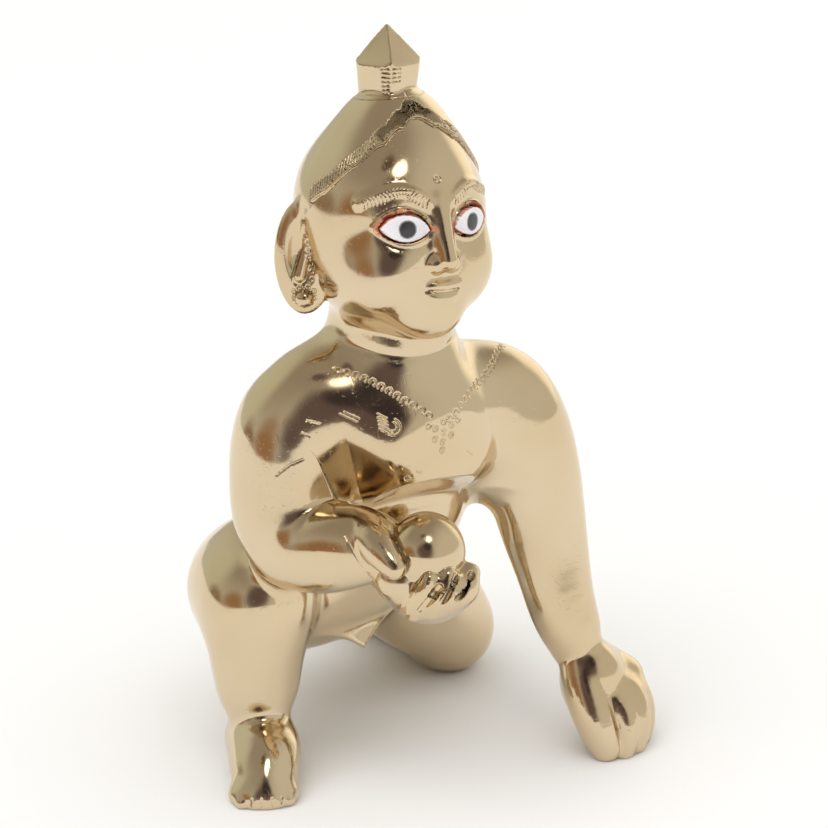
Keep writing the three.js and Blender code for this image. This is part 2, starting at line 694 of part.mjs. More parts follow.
// Closed mesh where the sampled form crosses zero
function surfaceMesh(form, xs, ys, zs) {
  const values = sampleForm(form, xs, ys, zs);
  const row = xs.length;
  const slab = row * ys.length;
  const total = slab * zs.length;
  const positions = [];
  const triangles = [];
  const crossings = new Map();
  const cornerAt = [0, 1, row, row + 1, slab, slab + 1, slab + row, slab + row + 1];

  function point(node) {
    const i = node % row;
    const j = Math.floor(node / row) % ys.length;
    const k = Math.floor(node / slab);
    return [xs[i], ys[j], zs[k]];
  }

  function crossing(one, other) {
    const low = Math.min(one, other);
    const high = Math.max(one, other);
    const key = low * total + high;
    let index = crossings.get(key);
    if (index === undefined) {
      const share = values[low] / (values[low] - values[high]);
      const t = Math.min(Math.max(share, LEAST_SHARE), 1 - LEAST_SHARE);
      const a = point(low);
      const b = point(high);
      index = positions.length / 3;
      positions.push(a[0] + t * (b[0] - a[0]), a[1] + t * (b[1] - a[1]), a[2] + t * (b[2] - a[2]));
      crossings.set(key, index);
    }
    return index;
  }

  function addTetrahedron(a, b, c, d) {
    const inside = [a, b, c, d].filter((node) => values[node] < 0);
    const outside = [a, b, c, d].filter((node) => values[node] >= 0);
    if (inside.length === 0 || outside.length === 0) return;
    let ring;
    if (inside.length === 1) ring = outside.map((node) => crossing(inside[0], node));
    if (inside.length === 3) ring = inside.map((node) => crossing(outside[0], node));
    if (inside.length === 2) {
      const [p, q] = inside;
      const [r, s] = outside;
      ring = [crossing(p, r), crossing(p, s), crossing(q, s), crossing(q, r)];
    }
    const [first, second, third] = ring.slice(0, 3).map((v) => positions.slice(v * 3, v * 3 + 3));
    const inner = point(inside[0]);
    const flip = turnOf(first, second, third, inner) > 0;
    if (flip) ring.reverse();
    triangles.push(ring[0], ring[1], ring[2]);
    if (ring.length === 4) triangles.push(ring[0], ring[2], ring[3]);
  }

  for (let k = 0; k + 1 < zs.length; k++) {
    for (let j = 0; j + 1 < ys.length; j++) {
      for (let i = 0; i + 1 < xs.length; i++) {
        const base = k * slab + j * row + i;
        const solid = values[base] < 0;
        if (cornerAt.every((offset) => values[base + offset] < 0 === solid)) continue;
        for (const corners of CELL_TETRAHEDRA) {
          addTetrahedron(...corners.map((corner) => base + cornerAt[corner]));
        }
      }
    }
  }
  return { positions: Float64Array.from(positions), triangles: Int32Array.from(triangles) };
}

// Positive when the fourth point is on the side that the triangle a, b, c faces
function turnOf(a, b, c, d) {
  const [ux, uy, uz] = [b[0] - a[0], b[1] - a[1], b[2] - a[2]];
  const [vx, vy, vz] = [c[0] - a[0], c[1] - a[1], c[2] - a[2]];
  const [wx, wy, wz] = [d[0] - a[0], d[1] - a[1], d[2] - a[2]];
  return (uy * vz - uz * vy) * wx + (uz * vx - ux * vz) * wy + (ux * vy - uy * vx) * wz;
}

// Edges to fold away, cheapest first
class EdgeQueue {
  constructor() {
    this.items = [];
  }

  push(item) {
    const items = this.items;
    let at = items.length;
    items.push(item);
    while (at > 0) {
      const above = (at - 1) >> 1;
      if (items[above].cost <= item.cost) break;
      items[at] = items[above];
      at = above;
    }
    items[at] = item;
  }

  pop() {
    const items = this.items;
    const first = items[0];
    const item = items.pop();
    if (items.length === 0) return first;
    let at = 0;
    for (;;) {
      let below = 2 * at + 1;
      if (below >= items.length) break;
      if (below + 1 < items.length && items[below + 1].cost < items[below].cost) below++;
      if (items[below].cost >= item.cost) break;
      items[at] = items[below];
      at = below;
    }
    items[at] = item;
    return first;
  }
}

const ERROR_TERMS = 10; // of the sum of squared distances to a corner's planes
const EDGE_WEIGHT = 0.004; // makes short edges go first where the surface is flat
const MOST_TURN = 0.25; // least cosine between a face's normals before and after an edge goes
const MOST_SHIFT = 3; // farthest that a corner moves from the middle of its edge
const FLATNESS = 1e-4; // least spread of the planes that fixes a corner's place

// Folds away the edges whose loss changes the surface least, until few enough triangles are left
function simplified({ positions, triangles }, target, weightAt) {
  const corners = positions.length / 3;
  const errors = new Float64Array(ERROR_TERMS * corners);
  const around = Array.from({ length: corners }, () => []);
  const stamp = new Int32Array(corners);
  const gone = new Uint8Array(triangles.length / 3);
  let left = gone.length;

  function point(v) {
    return [positions[3 * v], positions[3 * v + 1], positions[3 * v + 2]];
  }

  function ringOf(t) {
    return [triangles[3 * t], triangles[3 * t + 1], triangles[3 * t + 2]];
  }

  function addPlane(t) {
    const ring = ringOf(t);
    const [x, y, z] = point(ring[0]);
    const normal = faceNormal([x, y, z], point(ring[1]), point(ring[2]));
    const area = Math.hypot(...normal);
    for (const v of ring) around[v].push(t);
    if (area < TINY) return;
    const [nx, ny, nz] = normal.map((n) => n / area);
    const offset = -(nx * x + ny * y + nz * z);
    const plane = [nx, ny, nz, offset];
    const weight = area * weightAt(x, y, z);
    let term = 0;
    for (let i = 0; i < plane.length; i++) {
      for (let j = i; j < plane.length; j++) {
        for (const v of ring) errors[ERROR_TERMS * v + term] += weight * plane[i] * plane[j];
        term++;
      }
    }
  }

  function neighbours(v) {
    const found = new Set(around[v].flatMap(ringOf));
    found.delete(v);
    return found;
  }

  const sum = new Float64Array(ERROR_TERMS);
  function proposal(a, b) {
    for (let i = 0; i < ERROR_TERMS; i++) {
      sum[i] = errors[ERROR_TERMS * a + i] + errors[ERROR_TERMS * b + i];
    }
    const p = point(a);
    const q = point(b);
    const middle = [(p[0] + q[0]) / 2, (p[1] + q[1]) / 2, (p[2] + q[2]) / 2];
    const place = lowestPoint(sum, middle) ?? middle;
    const lengthSquared = (p[0] - q[0]) ** 2 + (p[1] - q[1]) ** 2 + (p[2] - q[2]) ** 2;
    const cost = errorAt(sum, place) + (EDGE_WEIGHT * lengthSquared) ** 2;
    return { a, b, place, cost, made: stamp[a] + stamp[b] };
  }

  function flips(v, other, place) {
    for (const t of around[v]) {
      const ring = ringOf(t);
      if (ring.includes(other)) continue;
      const before = faceNormal(...ring.map(point));
      const after = faceNormal(...ring.map((w) => (w === v ? place : point(w))));
      const agreement = before[0] * after[0] + before[1] * after[1] + before[2] * after[2];
      const size = Math.hypot(...before) * Math.hypot(...after);
      if (agreement < MOST_TURN * size + TINY) return true;
    }
    return false;
  }

  function fold(a, b, place, shared) {
    for (const t of around[b]) {
      const ring = ringOf(t);
      if (ring.includes(a)) {
        gone[t] = 1;
        left--;
      } else {
        triangles[3 * t + ring.indexOf(b)] = a;
        around[a].push(t);
      }
    }
    around[b] = [];
    for (const v of [a, ...shared]) around[v] = around[v].filter((t) => !gone[t]);
    positions.set(place, 3 * a);
    for (let i = 0; i < ERROR_TERMS; i++) errors[ERROR_TERMS * a + i] += errors[ERROR_TERMS * b + i];
    stamp[a] += corners;
  }

  for (let t = 0; t < gone.length; t++) addPlane(t);
  const queue = new EdgeQueue();
  for (let v = 0; v < corners; v++) {
    for (const w of neighbours(v)) {
      if (v < w) queue.push(proposal(v, w));
    }
  }
  while (left > target && queue.items.length > 0) {
    const { a, b, place, made } = queue.pop();
    if (made !== stamp[a] + stamp[b] || around[a].length === 0 || around[b].length === 0) continue;
    const beside = neighbours(a);
    if (!beside.has(b)) continue;
    const shared = [...neighbours(b)].filter((v) => beside.has(v));
    if (shared.length !== 2 || flips(a, b, place) || flips(b, a, place)) continue;
    fold(a, b, place, shared);
    for (const w of neighbours(a)) queue.push(proposal(a, w));
  }
  return compacted(positions, triangles, gone);
}

function faceNormal(a, b, c) {
  const ux = b[0] - a[0];
  const uy = b[1] - a[1];
  const uz = b[2] - a[2];
  const vx = c[0] - a[0];
  const vy = c[1] - a[1];
  const vz = c[2] - a[2];
  return [uy * vz - uz * vy, uz * vx - ux * vz, ux * vy - uy * vx];
}

function errorAt(e, [x, y, z]) {
  const squares = e[0] * x * x + e[4] * y * y + e[7] * z * z;
  const products = e[1] * x * y + e[2] * x * z + e[5] * y * z + e[3] * x + e[6] * y + e[8] * z;
  return Math.max(squares + 2 * products + e[9], 0);
}

// Where the error is least, unless the surface is flat or the place is far from the edge
function lowestPoint(e, near) {
  const [xx, xy, xz, xo, yy, yz, yo, zz, zo] = e;
  const first = yy * zz - yz * yz;
  const second = xz * yz - xy * zz;
  const third = xy * yz - xz * yy;
  const spread = xx * first + xy * second + xz * third;
  if (spread < FLATNESS * (xx + yy + zz) ** 3) return null;
  const cross = xy * xz - xx * yz;
  const x = -(first * xo + second * yo + third * zo) / spread;
  const y = -(second * xo + (xx * zz - xz * xz) * yo + cross * zo) / spread;
  const z = -(third * xo + cross * yo + (xx * yy - xy * xy) * zo) / spread;
  return Math.hypot(x - near[0], y - near[1], z - near[2]) < MOST_SHIFT ? [x, y, z] : null;
}

function compacted(positions, triangles, gone) {
  const numbers = new Map();
  const kept = [];
  const faces = [];
  for (let t = 0; t < gone.length; t++) {
    if (gone[t]) continue;
    for (let i = 0; i < 3; i++) {
      const v = triangles[3 * t + i];
      if (!numbers.has(v)) {
        numbers.set(v, numbers.size);
        kept.push(positions[3 * v], positions[3 * v + 1], positions[3 * v + 2]);
      }
      faces.push(numbers.get(v));
    }
  }
  return { positions: Float64Array.from(kept), triangles: Int32Array.from(faces) };
}

// Fine detail gets more of the triangles
const CARVED_PLACES = [
  { middle: [-2.5, -9, 75], radius: 11, weight: 5 },
  { middle: [-7, -14, 33], radius: 9, weight: 2.5 },
  { middle: [23, -12, 6], radius: 10, weight: 1.5 },
  { middle: [-2.5, 1, 93], radius: 7, weight: 2 },
];

function detailWeight(x, y, z) {
  for (const { middle, radius, weight } of CARVED_PLACES) {
    if (Math.hypot(x - middle[0], y - middle[1], z - middle[2]) < radius) return weight;
  }
  return 1;
}

const wasm = await Module();
wasm.setup();

function solidFrom(positions, triangles) {
  return new wasm.Manifold(
    new wasm.Mesh({
      numProp: 3,
      vertProperties: Float32Array.from(positions),
      triVerts: Uint32Array.from(triangles),
    }),
  );
}

function solidFromGeometry(geometry) {
  const bare = geometry.clone();
  bare.deleteAttribute("normal");
  bare.deleteAttribute("uv");
  const merged = mergeVertices(bare);
  return solidFrom(merged.attributes.position.array, merged.index.array);
}

function geometryFrom(solid) {
  const mesh = solid.getMesh();
  const geometry = new THREE.BufferGeometry();
  geometry.setAttribute("position", new THREE.BufferAttribute(Float32Array.from(mesh.vertProperties), 3));
  geometry.setIndex(new THREE.BufferAttribute(Uint32Array.from(mesh.triVerts), 1));
  geometry.computeVertexNormals();
  return geometry;
}

// The casting in millimetres, cut flat where it stands
function castFigure() {
  const xs = gridLines(FORM_BOX.x, widthStep);
  const ys = gridLines(FORM_BOX.y, depthStep);
  const zs = gridLines(FORM_BOX.z, heightStep);
  const fine = surfaceMesh(figureForm(), xs, ys, zs);
  const { positions, triangles } = simplified(fine, FIGURE_TRIANGLES, detailWeight);
  const whole = solidFrom(positions.map((value) => value * UNIT), triangles);
  const wide = 2 * FIGURE_HEIGHT;
  const floor = new THREE.BoxGeometry(wide, wide, wide).translate(0, 0, -wide / 2);
  return whole.subtract(solidFromGeometry(floor));
}

// From an eye's own frame in millimetres to the figure's; side is 1 for the left eye and -1 for the right
function eyePlacement(side) {
  const [x, y, z] = EYE_CENTRE;
  const turn = turned(Z_AXIS, side * EYE_DEGREES).multiply(turned(Y_AXIS, -side * EYE_TILT));
  return new THREE.Matrix4()
    .makeScale(UNIT, UNIT, UNIT)
    .multiply(new THREE.Matrix4().makeTranslation(...HEAD_CENTRE))
    .multiply(HEAD_TURN)
    .multiply(new THREE.Matrix4().makeTranslation(side * x, y, z))
    .multiply(turn)
    .multiply(new THREE.Matrix4().makeScale(1 / UNIT, 1 / UNIT, 1 / UNIT));
}

// Almond between two arcs, widened all round by a margin
function almond(margin) {
  const half = EYE_WIDTH / 2;
  const arcs = [UPPER_SHARE, 1 - UPPER_SHARE].map((share) => {
    const rise = EYE_HEIGHT * share;
    return (half ** 2 + rise ** 2) / (2 * rise) + margin;
  });
  const [upper, lower] = arcs;
  const upperMiddle = EYE_HEIGHT * UPPER_SHARE + margin - upper;
  const lowerMiddle = lower - margin - EYE_HEIGHT * (1 - UPPER_SHARE);
  const apart = lowerMiddle - upperMiddle;
  const height = upperMiddle + (upper ** 2 - lower ** 2 + apart ** 2) / (2 * apart);
  const corner = Math.sqrt(upper ** 2 - (height - upperMiddle) ** 2);
  const upperAngle = Math.atan2(height - upperMiddle, corner);
  const lowerAngle = Math.atan2(height - lowerMiddle, corner);
  const shape = new THREE.Shape();
  shape.absarc(0, upperMiddle, upper, upperAngle, Math.PI - upperAngle, false);
  shape.absarc(0, lowerMiddle, lower, Math.PI - lowerAngle, lowerAngle, false);
  return shape;
}

// Almond prism from front to back along the eye's own Y
function almondPrism(margin, front, back) {
  const options = { depth: back - front, bevelEnabled: false, curveSegments: ALMOND_SEGMENTS };
  return new THREE.ExtrudeGeometry(almond(margin), options).rotateX(Math.PI / 2).translate(0, back, 0);
}

const ENAMEL_CROWN = -EYE_BED * UNIT - ENAMEL_PROUD;
const ENAMEL_BACK = ENAMEL_CROWN + ENAMEL_DEPTH;
const IN_FRONT = -5; // clear of the brass in front of the eye
const ALMOND_SEGMENTS = 7; // in each arc of the almond

function enamelSolid(side) {
  const curve = EYE_CURVE * UNIT;
  const front = new THREE.SphereGeometry(curve, 36, 24).translate(0, ENAMEL_CROWN + curve, 0);
  const prism = almondPrism(0, IN_FRONT, ENAMEL_BACK);
  const lens = solidFromGeometry(prism).intersect(solidFromGeometry(front));
  return geometryFrom(lens).applyMatrix4(eyePlacement(side));
}

function socketTool(side) {
  const prism = almondPrism(SOCKET_GAP, IN_FRONT, ENAMEL_BACK + SOCKET_GAP);
  return solidFromGeometry(prism.applyMatrix4(eyePlacement(side)));
}

// Materials
const BRASS = new THREE.MeshStandardMaterial({ color: 0xcdb98a, roughness: 0.12, metalness: 1 });
const ENAMEL = new THREE.MeshStandardMaterial({ color: 0xf2f0f2, roughness: 0.15, metalness: 0 });

function named(geometry, material, name) {
  const mesh = new THREE.Mesh(geometry, material);
  mesh.name = name;
  return mesh;
}

function krishna() {
  const casting = castFigure().subtract(socketTool(1)).subtract(socketTool(-1));
  const body = geometryFrom(casting);
  body.computeBoundingBox();
  const middle = body.boundingBox.getCenter(new THREE.Vector3());
  const standing = new THREE.Group();
  standing.position.set(-middle.x, -middle.y, -body.boundingBox.min.z);
  standing.add(
    named(body, BRASS, "figure"),
    named(enamelSolid(1), ENAMEL, "left_eye"),
    named(enamelSolid(-1), ENAMEL, "right_eye"),
  );
  return new THREE.Group().add(standing);
}

export default krishna();
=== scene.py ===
"""Crawling child figure in polished cast brass, with enamel let into the eyes.

The figure's form is a sum of rounded forms in units of its own, about a hundredth of its height.
The casting is a copy of the frame's solid, remeshed, laid on that form and made finer where it is carved.
"""
import math
from collections import namedtuple
from functools import reduce

import bpy
import numpy as np
from bpy.props import FloatProperty, FloatVectorProperty, PointerProperty
from bpy.types import Operator, Panel, PropertyGroup
from mathutils import Matrix, Vector


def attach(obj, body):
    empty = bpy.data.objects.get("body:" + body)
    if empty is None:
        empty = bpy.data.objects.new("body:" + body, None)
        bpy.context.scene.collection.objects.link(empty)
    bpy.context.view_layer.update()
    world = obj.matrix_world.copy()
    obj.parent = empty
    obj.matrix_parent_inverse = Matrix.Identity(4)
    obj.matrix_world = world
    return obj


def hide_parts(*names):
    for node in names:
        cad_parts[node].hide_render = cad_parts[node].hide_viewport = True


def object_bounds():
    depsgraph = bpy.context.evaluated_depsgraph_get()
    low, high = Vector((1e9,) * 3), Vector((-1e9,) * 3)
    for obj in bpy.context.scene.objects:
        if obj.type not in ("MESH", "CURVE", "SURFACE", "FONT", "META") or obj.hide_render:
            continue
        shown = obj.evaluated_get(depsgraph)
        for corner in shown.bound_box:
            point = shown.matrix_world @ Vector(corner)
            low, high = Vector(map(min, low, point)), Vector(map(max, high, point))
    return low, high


bl_info = {
    "name": "Crawling Krishna Figure",
    "version": (1, 0, 0),
    "blender": (4, 5, 0),
    "location": "View3D > Sidebar > Krishna",
    "description": "Models a polished brass figure of the crawling child Krishna with enamelled eyes",
    "category": "Object",
}

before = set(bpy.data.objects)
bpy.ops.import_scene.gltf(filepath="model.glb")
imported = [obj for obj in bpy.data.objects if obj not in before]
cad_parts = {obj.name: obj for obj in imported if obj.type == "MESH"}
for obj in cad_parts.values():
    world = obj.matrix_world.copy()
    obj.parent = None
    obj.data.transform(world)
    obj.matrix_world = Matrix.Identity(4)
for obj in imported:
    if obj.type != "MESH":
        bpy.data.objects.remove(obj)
CAD_LOW, CAD_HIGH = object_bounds()
BODY = "root"
MM = 0.001

# The form's own units, and its place in the frame
FORM_HEIGHT = 97.4
UNIT = CAD_HIGH.z / FORM_HEIGHT  # metres in one form unit
FORM_PLACE = np.array((-2.1699, -16.5463, 0.0)) * MM  # of the form's origin
SPAN_STEPS = 4  # straight bars between two stations of a limb
BEND_STEPS = 10  # straight bars in a bent bar
LIMB_BLEND = 2.0  # blend width between the bars of a limb
CRISP = 0.14  # blend width of a crisp crease
FAR = 8.0  # wider than any blend, so what is farther off can't change the surface
TINY = 1e-9


def vector(*values):
    return np.array(values, dtype=float)


# Joining and carving distances
def blend(a, b, width):
    overlap = np.maximum(width - np.abs(a - b), 0.0) / width
    return np.minimum(a, b) - overlap * overlap * width / 4


def carve(solid, tool, width):
    return -blend(-solid, tool, width)


def ramp(start, end, value):
    t = np.clip((value - start) / (end - start), 0.0, 1.0)
    return t * t * (3 - 2 * t)


def bump(value, middle, width):
    return np.exp(-(((value - middle) / width) ** 2))


def length(p):
    return np.sqrt(np.einsum("ij,ij->i", p, p))


# Simple forms: each maker returns the distance to its surface, negative inside
def ball(centre, radius):
    centre = vector(*centre)
    return lambda p: length(p - centre) - radius


def egg(centre, radii):
    centre = vector(*centre)
    radii = vector(*radii)

    def shape(p):
        q = (p - centre) / radii
        share = length(q)
        return share * (share - 1) / np.maximum(length(q / radii), TINY)

    return shape


def bar(start, end, start_radius, end_radius):
    """Two balls and the tangent cone between them."""
    start = vector(*start)
    axis = vector(*end) - start
    span = axis @ axis
    taper = start_radius - end_radius
    rise = span - taper * taper

    def shape(p):
        offset = p - start
        along = offset @ axis
        beyond = along - span
        side = offset * span - along[:, None] * axis
        across = np.einsum("ij,ij->i", side, side)
        before = along * along * span
        after = beyond * beyond * span
        lean = np.sign(taper) * taper * taper * across
        d = (np.sqrt(across * rise / span) + along * taper) / span - start_radius
        at_start = np.sign(along) * rise * before < lean
        d = np.where(at_start, np.sqrt(across + before) / span - start_radius, d)
        at_end = np.sign(beyond) * rise * after > lean
        return np.where(at_end, np.sqrt(across + after) / span - end_radius, d)

    return shape


def bars_between(stations):
    return [bar(a[:3], b[:3], a[3], b[3]) for a, b in zip(stations[:-1], stations[1:])]


def bent_bar(start, middle, end):
    """A bar bent through its middle point, each station being x, y, z and radius."""
    start, middle, end = vector(*start), vector(*middle), vector(*end)
    pull = 2 * middle - (start + end) / 2
    steps = np.linspace(0, 1, BEND_STEPS + 1)
    bars = bars_between([(1 - t) ** 2 * start + 2 * t * (1 - t) * pull + t * t * end for t in steps])
    return lambda p: reduce(np.minimum, (part(p) for part in bars))


def smooth_run(stations, steps):
    """Points of a smooth curve through the stations, which may carry a radius too."""
    stations = np.array(stations, dtype=float)
    before = 2 * stations[0] - stations[1]
    after = 2 * stations[-1] - stations[-2]
    run = np.vstack((before, stations, after))
    points = []
    for a, b, c, d in zip(run[:-3], run[1:-2], run[2:-1], run[3:]):
        bend = 2 * a - 5 * b + 4 * c - d
        twist = 3 * b - a - 3 * c + d
        for step in range(steps):
            t = step / steps
            points.append((2 * b + (c - a) * t + bend * t**2 + twist * t**3) / 2)
    points.append(stations[-1])
    return np.array(points)


def limb(*stations):
    """A limb that runs smoothly through its stations of x, y, z and radius."""
    bars = bars_between(smooth_run(stations, SPAN_STEPS))

    def whole(p):
        return reduce(lambda d, part: blend(d, part(p), LIMB_BLEND), bars[1:], bars[0](p))

    return near(stations, whole)


def near(stations, part):
    """Leaves a part's own sum out where a point is too far from it to matter."""
    stations = np.array(stations, dtype=float)
    low = (stations[:, :3] - stations[:, 3:]).min(axis=0)
    high = (stations[:, :3] + stations[:, 3:]).max(axis=0)
    rough = ball((low + high) / 2, np.linalg.norm(high - low) / 2)

    def shape(p):
        d = rough(p)
        close = d <= FAR
        if close.any():
            d[close] = part(p[close])
        return d

    return shape


def turned(axis, degrees):
    return np.array(Matrix.Rotation(math.radians(degrees), 3, axis))


def placed(part, centre, turn):
    """A part moved to a centre and turned there."""
    centre = vector(*centre)
    return lambda p: part((p - centre) @ turn)


def mirrored(p):
    return np.column_stack((np.abs(p[:, 0]), p[:, 1:]))


# Head, in a frame of its own: origin in the middle of the skull, face towards -Y
HEAD_CENTRE = (-2.4, 1.6, 74.5)
HEAD_TURN = turned("Y", 3) @ turned("X", -5)
HAIR_THICKNESS = 0.4
HAIR_STEP = 0.12  # half the width of the step at the hair's edge
SCALLOP_DEPTH = 0.35
SCALLOP_DEGREES = 19
SCALLOPS_END = 88
HAIR_EDGE = (
    (0, 12.6),
    (24, 11.2),
    (43, 9.4),
    (59, 7.2),
    (72, 4.8),
    (90, 2.0),
    (105, -3.5),
    (130, -8.5),
    (180, -9.5),
)  # height of the hair's edge at each angle from the middle of the forehead


def hair_edge(degrees):
    height = np.interp(degrees, *zip(*HAIR_EDGE))
    scallops = SCALLOP_DEPTH * np.abs(np.sin(degrees / SCALLOP_DEGREES * np.pi))
    return height + scallops * (degrees <= SCALLOPS_END)


# Eyes, mirrored about the middle of the face, with their enamel sized in millimetres
EYE_WIDTH = 7.6
EYE_HEIGHT = 4.0
ENAMEL_DEPTH = 1.5
ENAMEL_PROUD = 0.25
SOCKET_GAP = 0.3
LID_THICKNESS = 0.8
FORM_MM = UNIT / MM  # millimetres in one form unit
EYE_CENTRE = (4.75, -10.75, 0.0)
EYE_DEGREES = 21
EYE_TILT = 3.5
EYE_CURVE = 7.5
EYE_BED = 0.2
UPPER_SHARE = 0.56
ENAMEL_CROWN = -EYE_BED * FORM_MM - ENAMEL_PROUD
ENAMEL_BACK = ENAMEL_CROWN + ENAMEL_DEPTH


def eye_surface(x, z):
    return EYE_CURVE - math.sqrt(EYE_CURVE**2 - x**2 - z**2)


def lids():
    rim = LID_THICKNESS / 2 / FORM_MM
    corner = (EYE_WIDTH / 2 + SOCKET_GAP) / FORM_MM + rim
    top = (EYE_HEIGHT * UPPER_SHARE + SOCKET_GAP) / FORM_MM + rim / 2
    bottom = (EYE_HEIGHT * (1 - UPPER_SHARE) + SOCKET_GAP) / FORM_MM + rim / 2
    lift = corner * math.tan(math.radians(EYE_TILT))
    inner = (-corner, eye_surface(corner, 0), -lift, rim * 0.8)
    outer = (corner, eye_surface(corner, 0), lift, rim * 0.8)
    upper = bent_bar(inner, (0, eye_surface(0, top) - rim / 2, top, rim * 1.2), outer)
    lower = bent_bar(inner, (0, eye_surface(0, bottom) - rim / 4, -bottom, rim), outer)
    return lambda p: np.minimum(upper(p), lower(p))


def eye_bed():
    depth = 3.5
    bed = egg((0, depth - EYE_BED, 0), (4.5, depth, 3.1))
    rims = lids()
    return near([(0, 3, 0, 5.5)], lambda p: blend(bed(p), rims(p), CRISP))


def almond_arcs():
    """Height of the middle and radius of the upper and lower arcs of the eye, in millimetres."""
    half = EYE_WIDTH / 2
    upper_rise = EYE_HEIGHT * UPPER_SHARE
    lower_rise = EYE_HEIGHT - upper_rise
    upper = (half**2 + upper_rise**2) / (2 * upper_rise)
    lower = (half**2 + lower_rise**2) / (2 * lower_rise)
    return (upper_rise - upper, upper), (lower - lower_rise, lower)


def outside_almond(x, z):
    """How far a place in the eye's own frame is outside the enamel's outline, in millimetres."""
    (upper_middle, upper), (lower_middle, lower) = almond_arcs()
    return np.maximum(np.hypot(x, z - upper_middle) - upper, np.hypot(x, z - lower_middle) - lower)


def in_eye_frame(p, side):
    """Points of the head's frame in the eye's own frame, in millimetres."""
    turn = turned("Z", side * EYE_DEGREES) @ turned("Y", -side * EYE_TILT)
    centre = vector(side * EYE_CENTRE[0], *EYE_CENTRE[1:])
    return (p - centre) @ turn * FORM_MM


def eye_socket(p):
    side = mirrored(p)
    q = in_eye_frame(side, 1)
    wall = outside_almond(q[:, 0], q[:, 2]) - SOCKET_GAP
    back = q[:, 1] - (ENAMEL_BACK + SOCKET_GAP)
    return np.maximum(wall, back) / FORM_MM


def face_features():
    eye_turn = turned("Z", EYE_DEGREES)
    orbit = placed(egg((0, 0, 0), (4.0, 2.2, 2.4)), (4.8, -12.2, 0.4), eye_turn)
    bed = placed(eye_bed(), EYE_CENTRE, eye_turn)
    brow = bent_bar((1.5, -11.1, 3.2, 0.3), (4.9, -9.9, 4.7, 0.5), (8.9, -6.9, 3.1, 0.3))
    bridge = bar((0, -10.8, 3.2), (0, -12.9, -3.9), 0.6, 1.15)
    nostril = ball((1.3, -11.9, -4.5), 0.95)
    muzzle = egg((0, -9.3, -7.8), (4.0, 2.5, 3.2))
    upper_lip = bent_bar((-0.1, -12.0, -7.15, 0.55), (1.5, -11.8, -7.1, 0.55), (3.0, -10.7, -7.5, 0.3))
    lower_lip = bent_bar((-0.1, -11.9, -8.6, 0.7), (1.3, -11.7, -8.5, 0.6), (2.7, -10.7, -7.9, 0.3))
    mouth = bent_bar((-0.1, -12.6, -7.8, 0.16), (1.5, -12.2, -7.75, 0.16), (3.1, -11.0, -7.55, 0.16))

    def shape(skin, p):
        side = mirrored(p)
        d = blend(skin, muzzle(p), 2)
        d = carve(d, orbit(side), 1.6)
        d = blend(d, bed(side), 0.5)
        d = blend(d, brow(side), 0.8)
        d = blend(d, bridge(p), 1.5)
        d = blend(d, nostril(side), 0.7)
        d = blend(d, upper_lip(side), 0.5)
        d = blend(d, lower_lip(side), 0.5)
        return carve(d, mouth(side), CRISP)

    return shape


def ear():
    plate = egg((0, 0, 0), (3.7, 1.3, 7.2))
    bowl = egg((0.2, -1.4, 0.8), (2.1, 1.1, 4.4))
    fold = bar((-0.6, -0.8, 2.4), (0.6, -0.9, -2.2), 0.5, 0.7)
    stud = ball((0.1, -0.9, -5.0), 1.15)

    def whole(p):
        d = carve(plate(p), bowl(p), 0.5)
        d = blend(d, fold(p), 0.4)
        return blend(d, stud(p), 0.3)

    return placed(near([(0, 0, 0, 7)], whole), (11.0, 2.6, -4.8), turned("Z", 32))


def topknot():
    """Four-sided bud that the hair is tied up into, widening from its base to a pyramid on top."""
    base = 12.0
    half = 2.75  # of its width at the base
    spread = 0.075
    corner = 1.5
    tip = 23.54
    taper = 0.66
    steepness = 1 / math.hypot(1, taper)

    def whole(p):
        z = p[:, 2]
        flat = (half - corner + (z - base) * spread)[:, None]
        beyond = np.abs(p[:, :2]) - flat
        outside = length(np.maximum(beyond, 0))
        post = outside + np.minimum(beyond.max(axis=1), 0) - corner
        bud = np.maximum(post, base - z)
        roof = (np.abs(p[:, :2]).max(axis=1) + (z - tip) * taper) * steepness
        return carve(bud, -roof, CRISP)

    return placed(near([(0, 0, 18, 8)], whole), (0, 0.6, 0), turned("Z", 20))


def head():
    skull = egg((0, 0.2, 0.2), (11.2, 11.6, 12.2))
    crown = bar((0.2, 0.2, 1.0), (0.6, 0.4, 9.2), 10.7, 6.6)
    jaw = egg((0, -1.8, -6.6), (9.4, 9.0, 8.2))
    cheek = egg((5.0, -6.0, -6.0), (4.8, 5.0, 5.0))
    chin = egg((0, -8.4, -11.2), (3.8, 3.2, 3.0))
    features = face_features()
    one_ear = ear()
    knot = topknot()

    def whole(p):
        side = mirrored(p)
        z = p[:, 2]
        d = blend(skull(p), crown(p), 3)
        d = blend(d, jaw(p), 4)
        d = blend(d, cheek(side), 3)
        d = blend(d, chin(p), 3)
        degrees = np.degrees(np.arctan2(side[:, 0], -p[:, 1]))
        over_edge = z - hair_edge(degrees)
        d = d - HAIR_THICKNESS * ramp(-HAIR_STEP, HAIR_STEP, over_edge) * ramp(-14, -12, z)
        d = features(d, p)
        d = np.maximum(d, -eye_socket(p))
        d = blend(d, one_ear(side), 0.8)
        return blend(d, knot(p), 0.35)

    return placed(near([(0, 0, 4, 22)], whole), HEAD_CENTRE, HEAD_TURN)


# Trunk: the chest is flat in front, with a sharp lower edge over the belly
def breast_front(p):
    return p[:, 1] + 9.3 + (p[:, 2] - 48) * 0.1


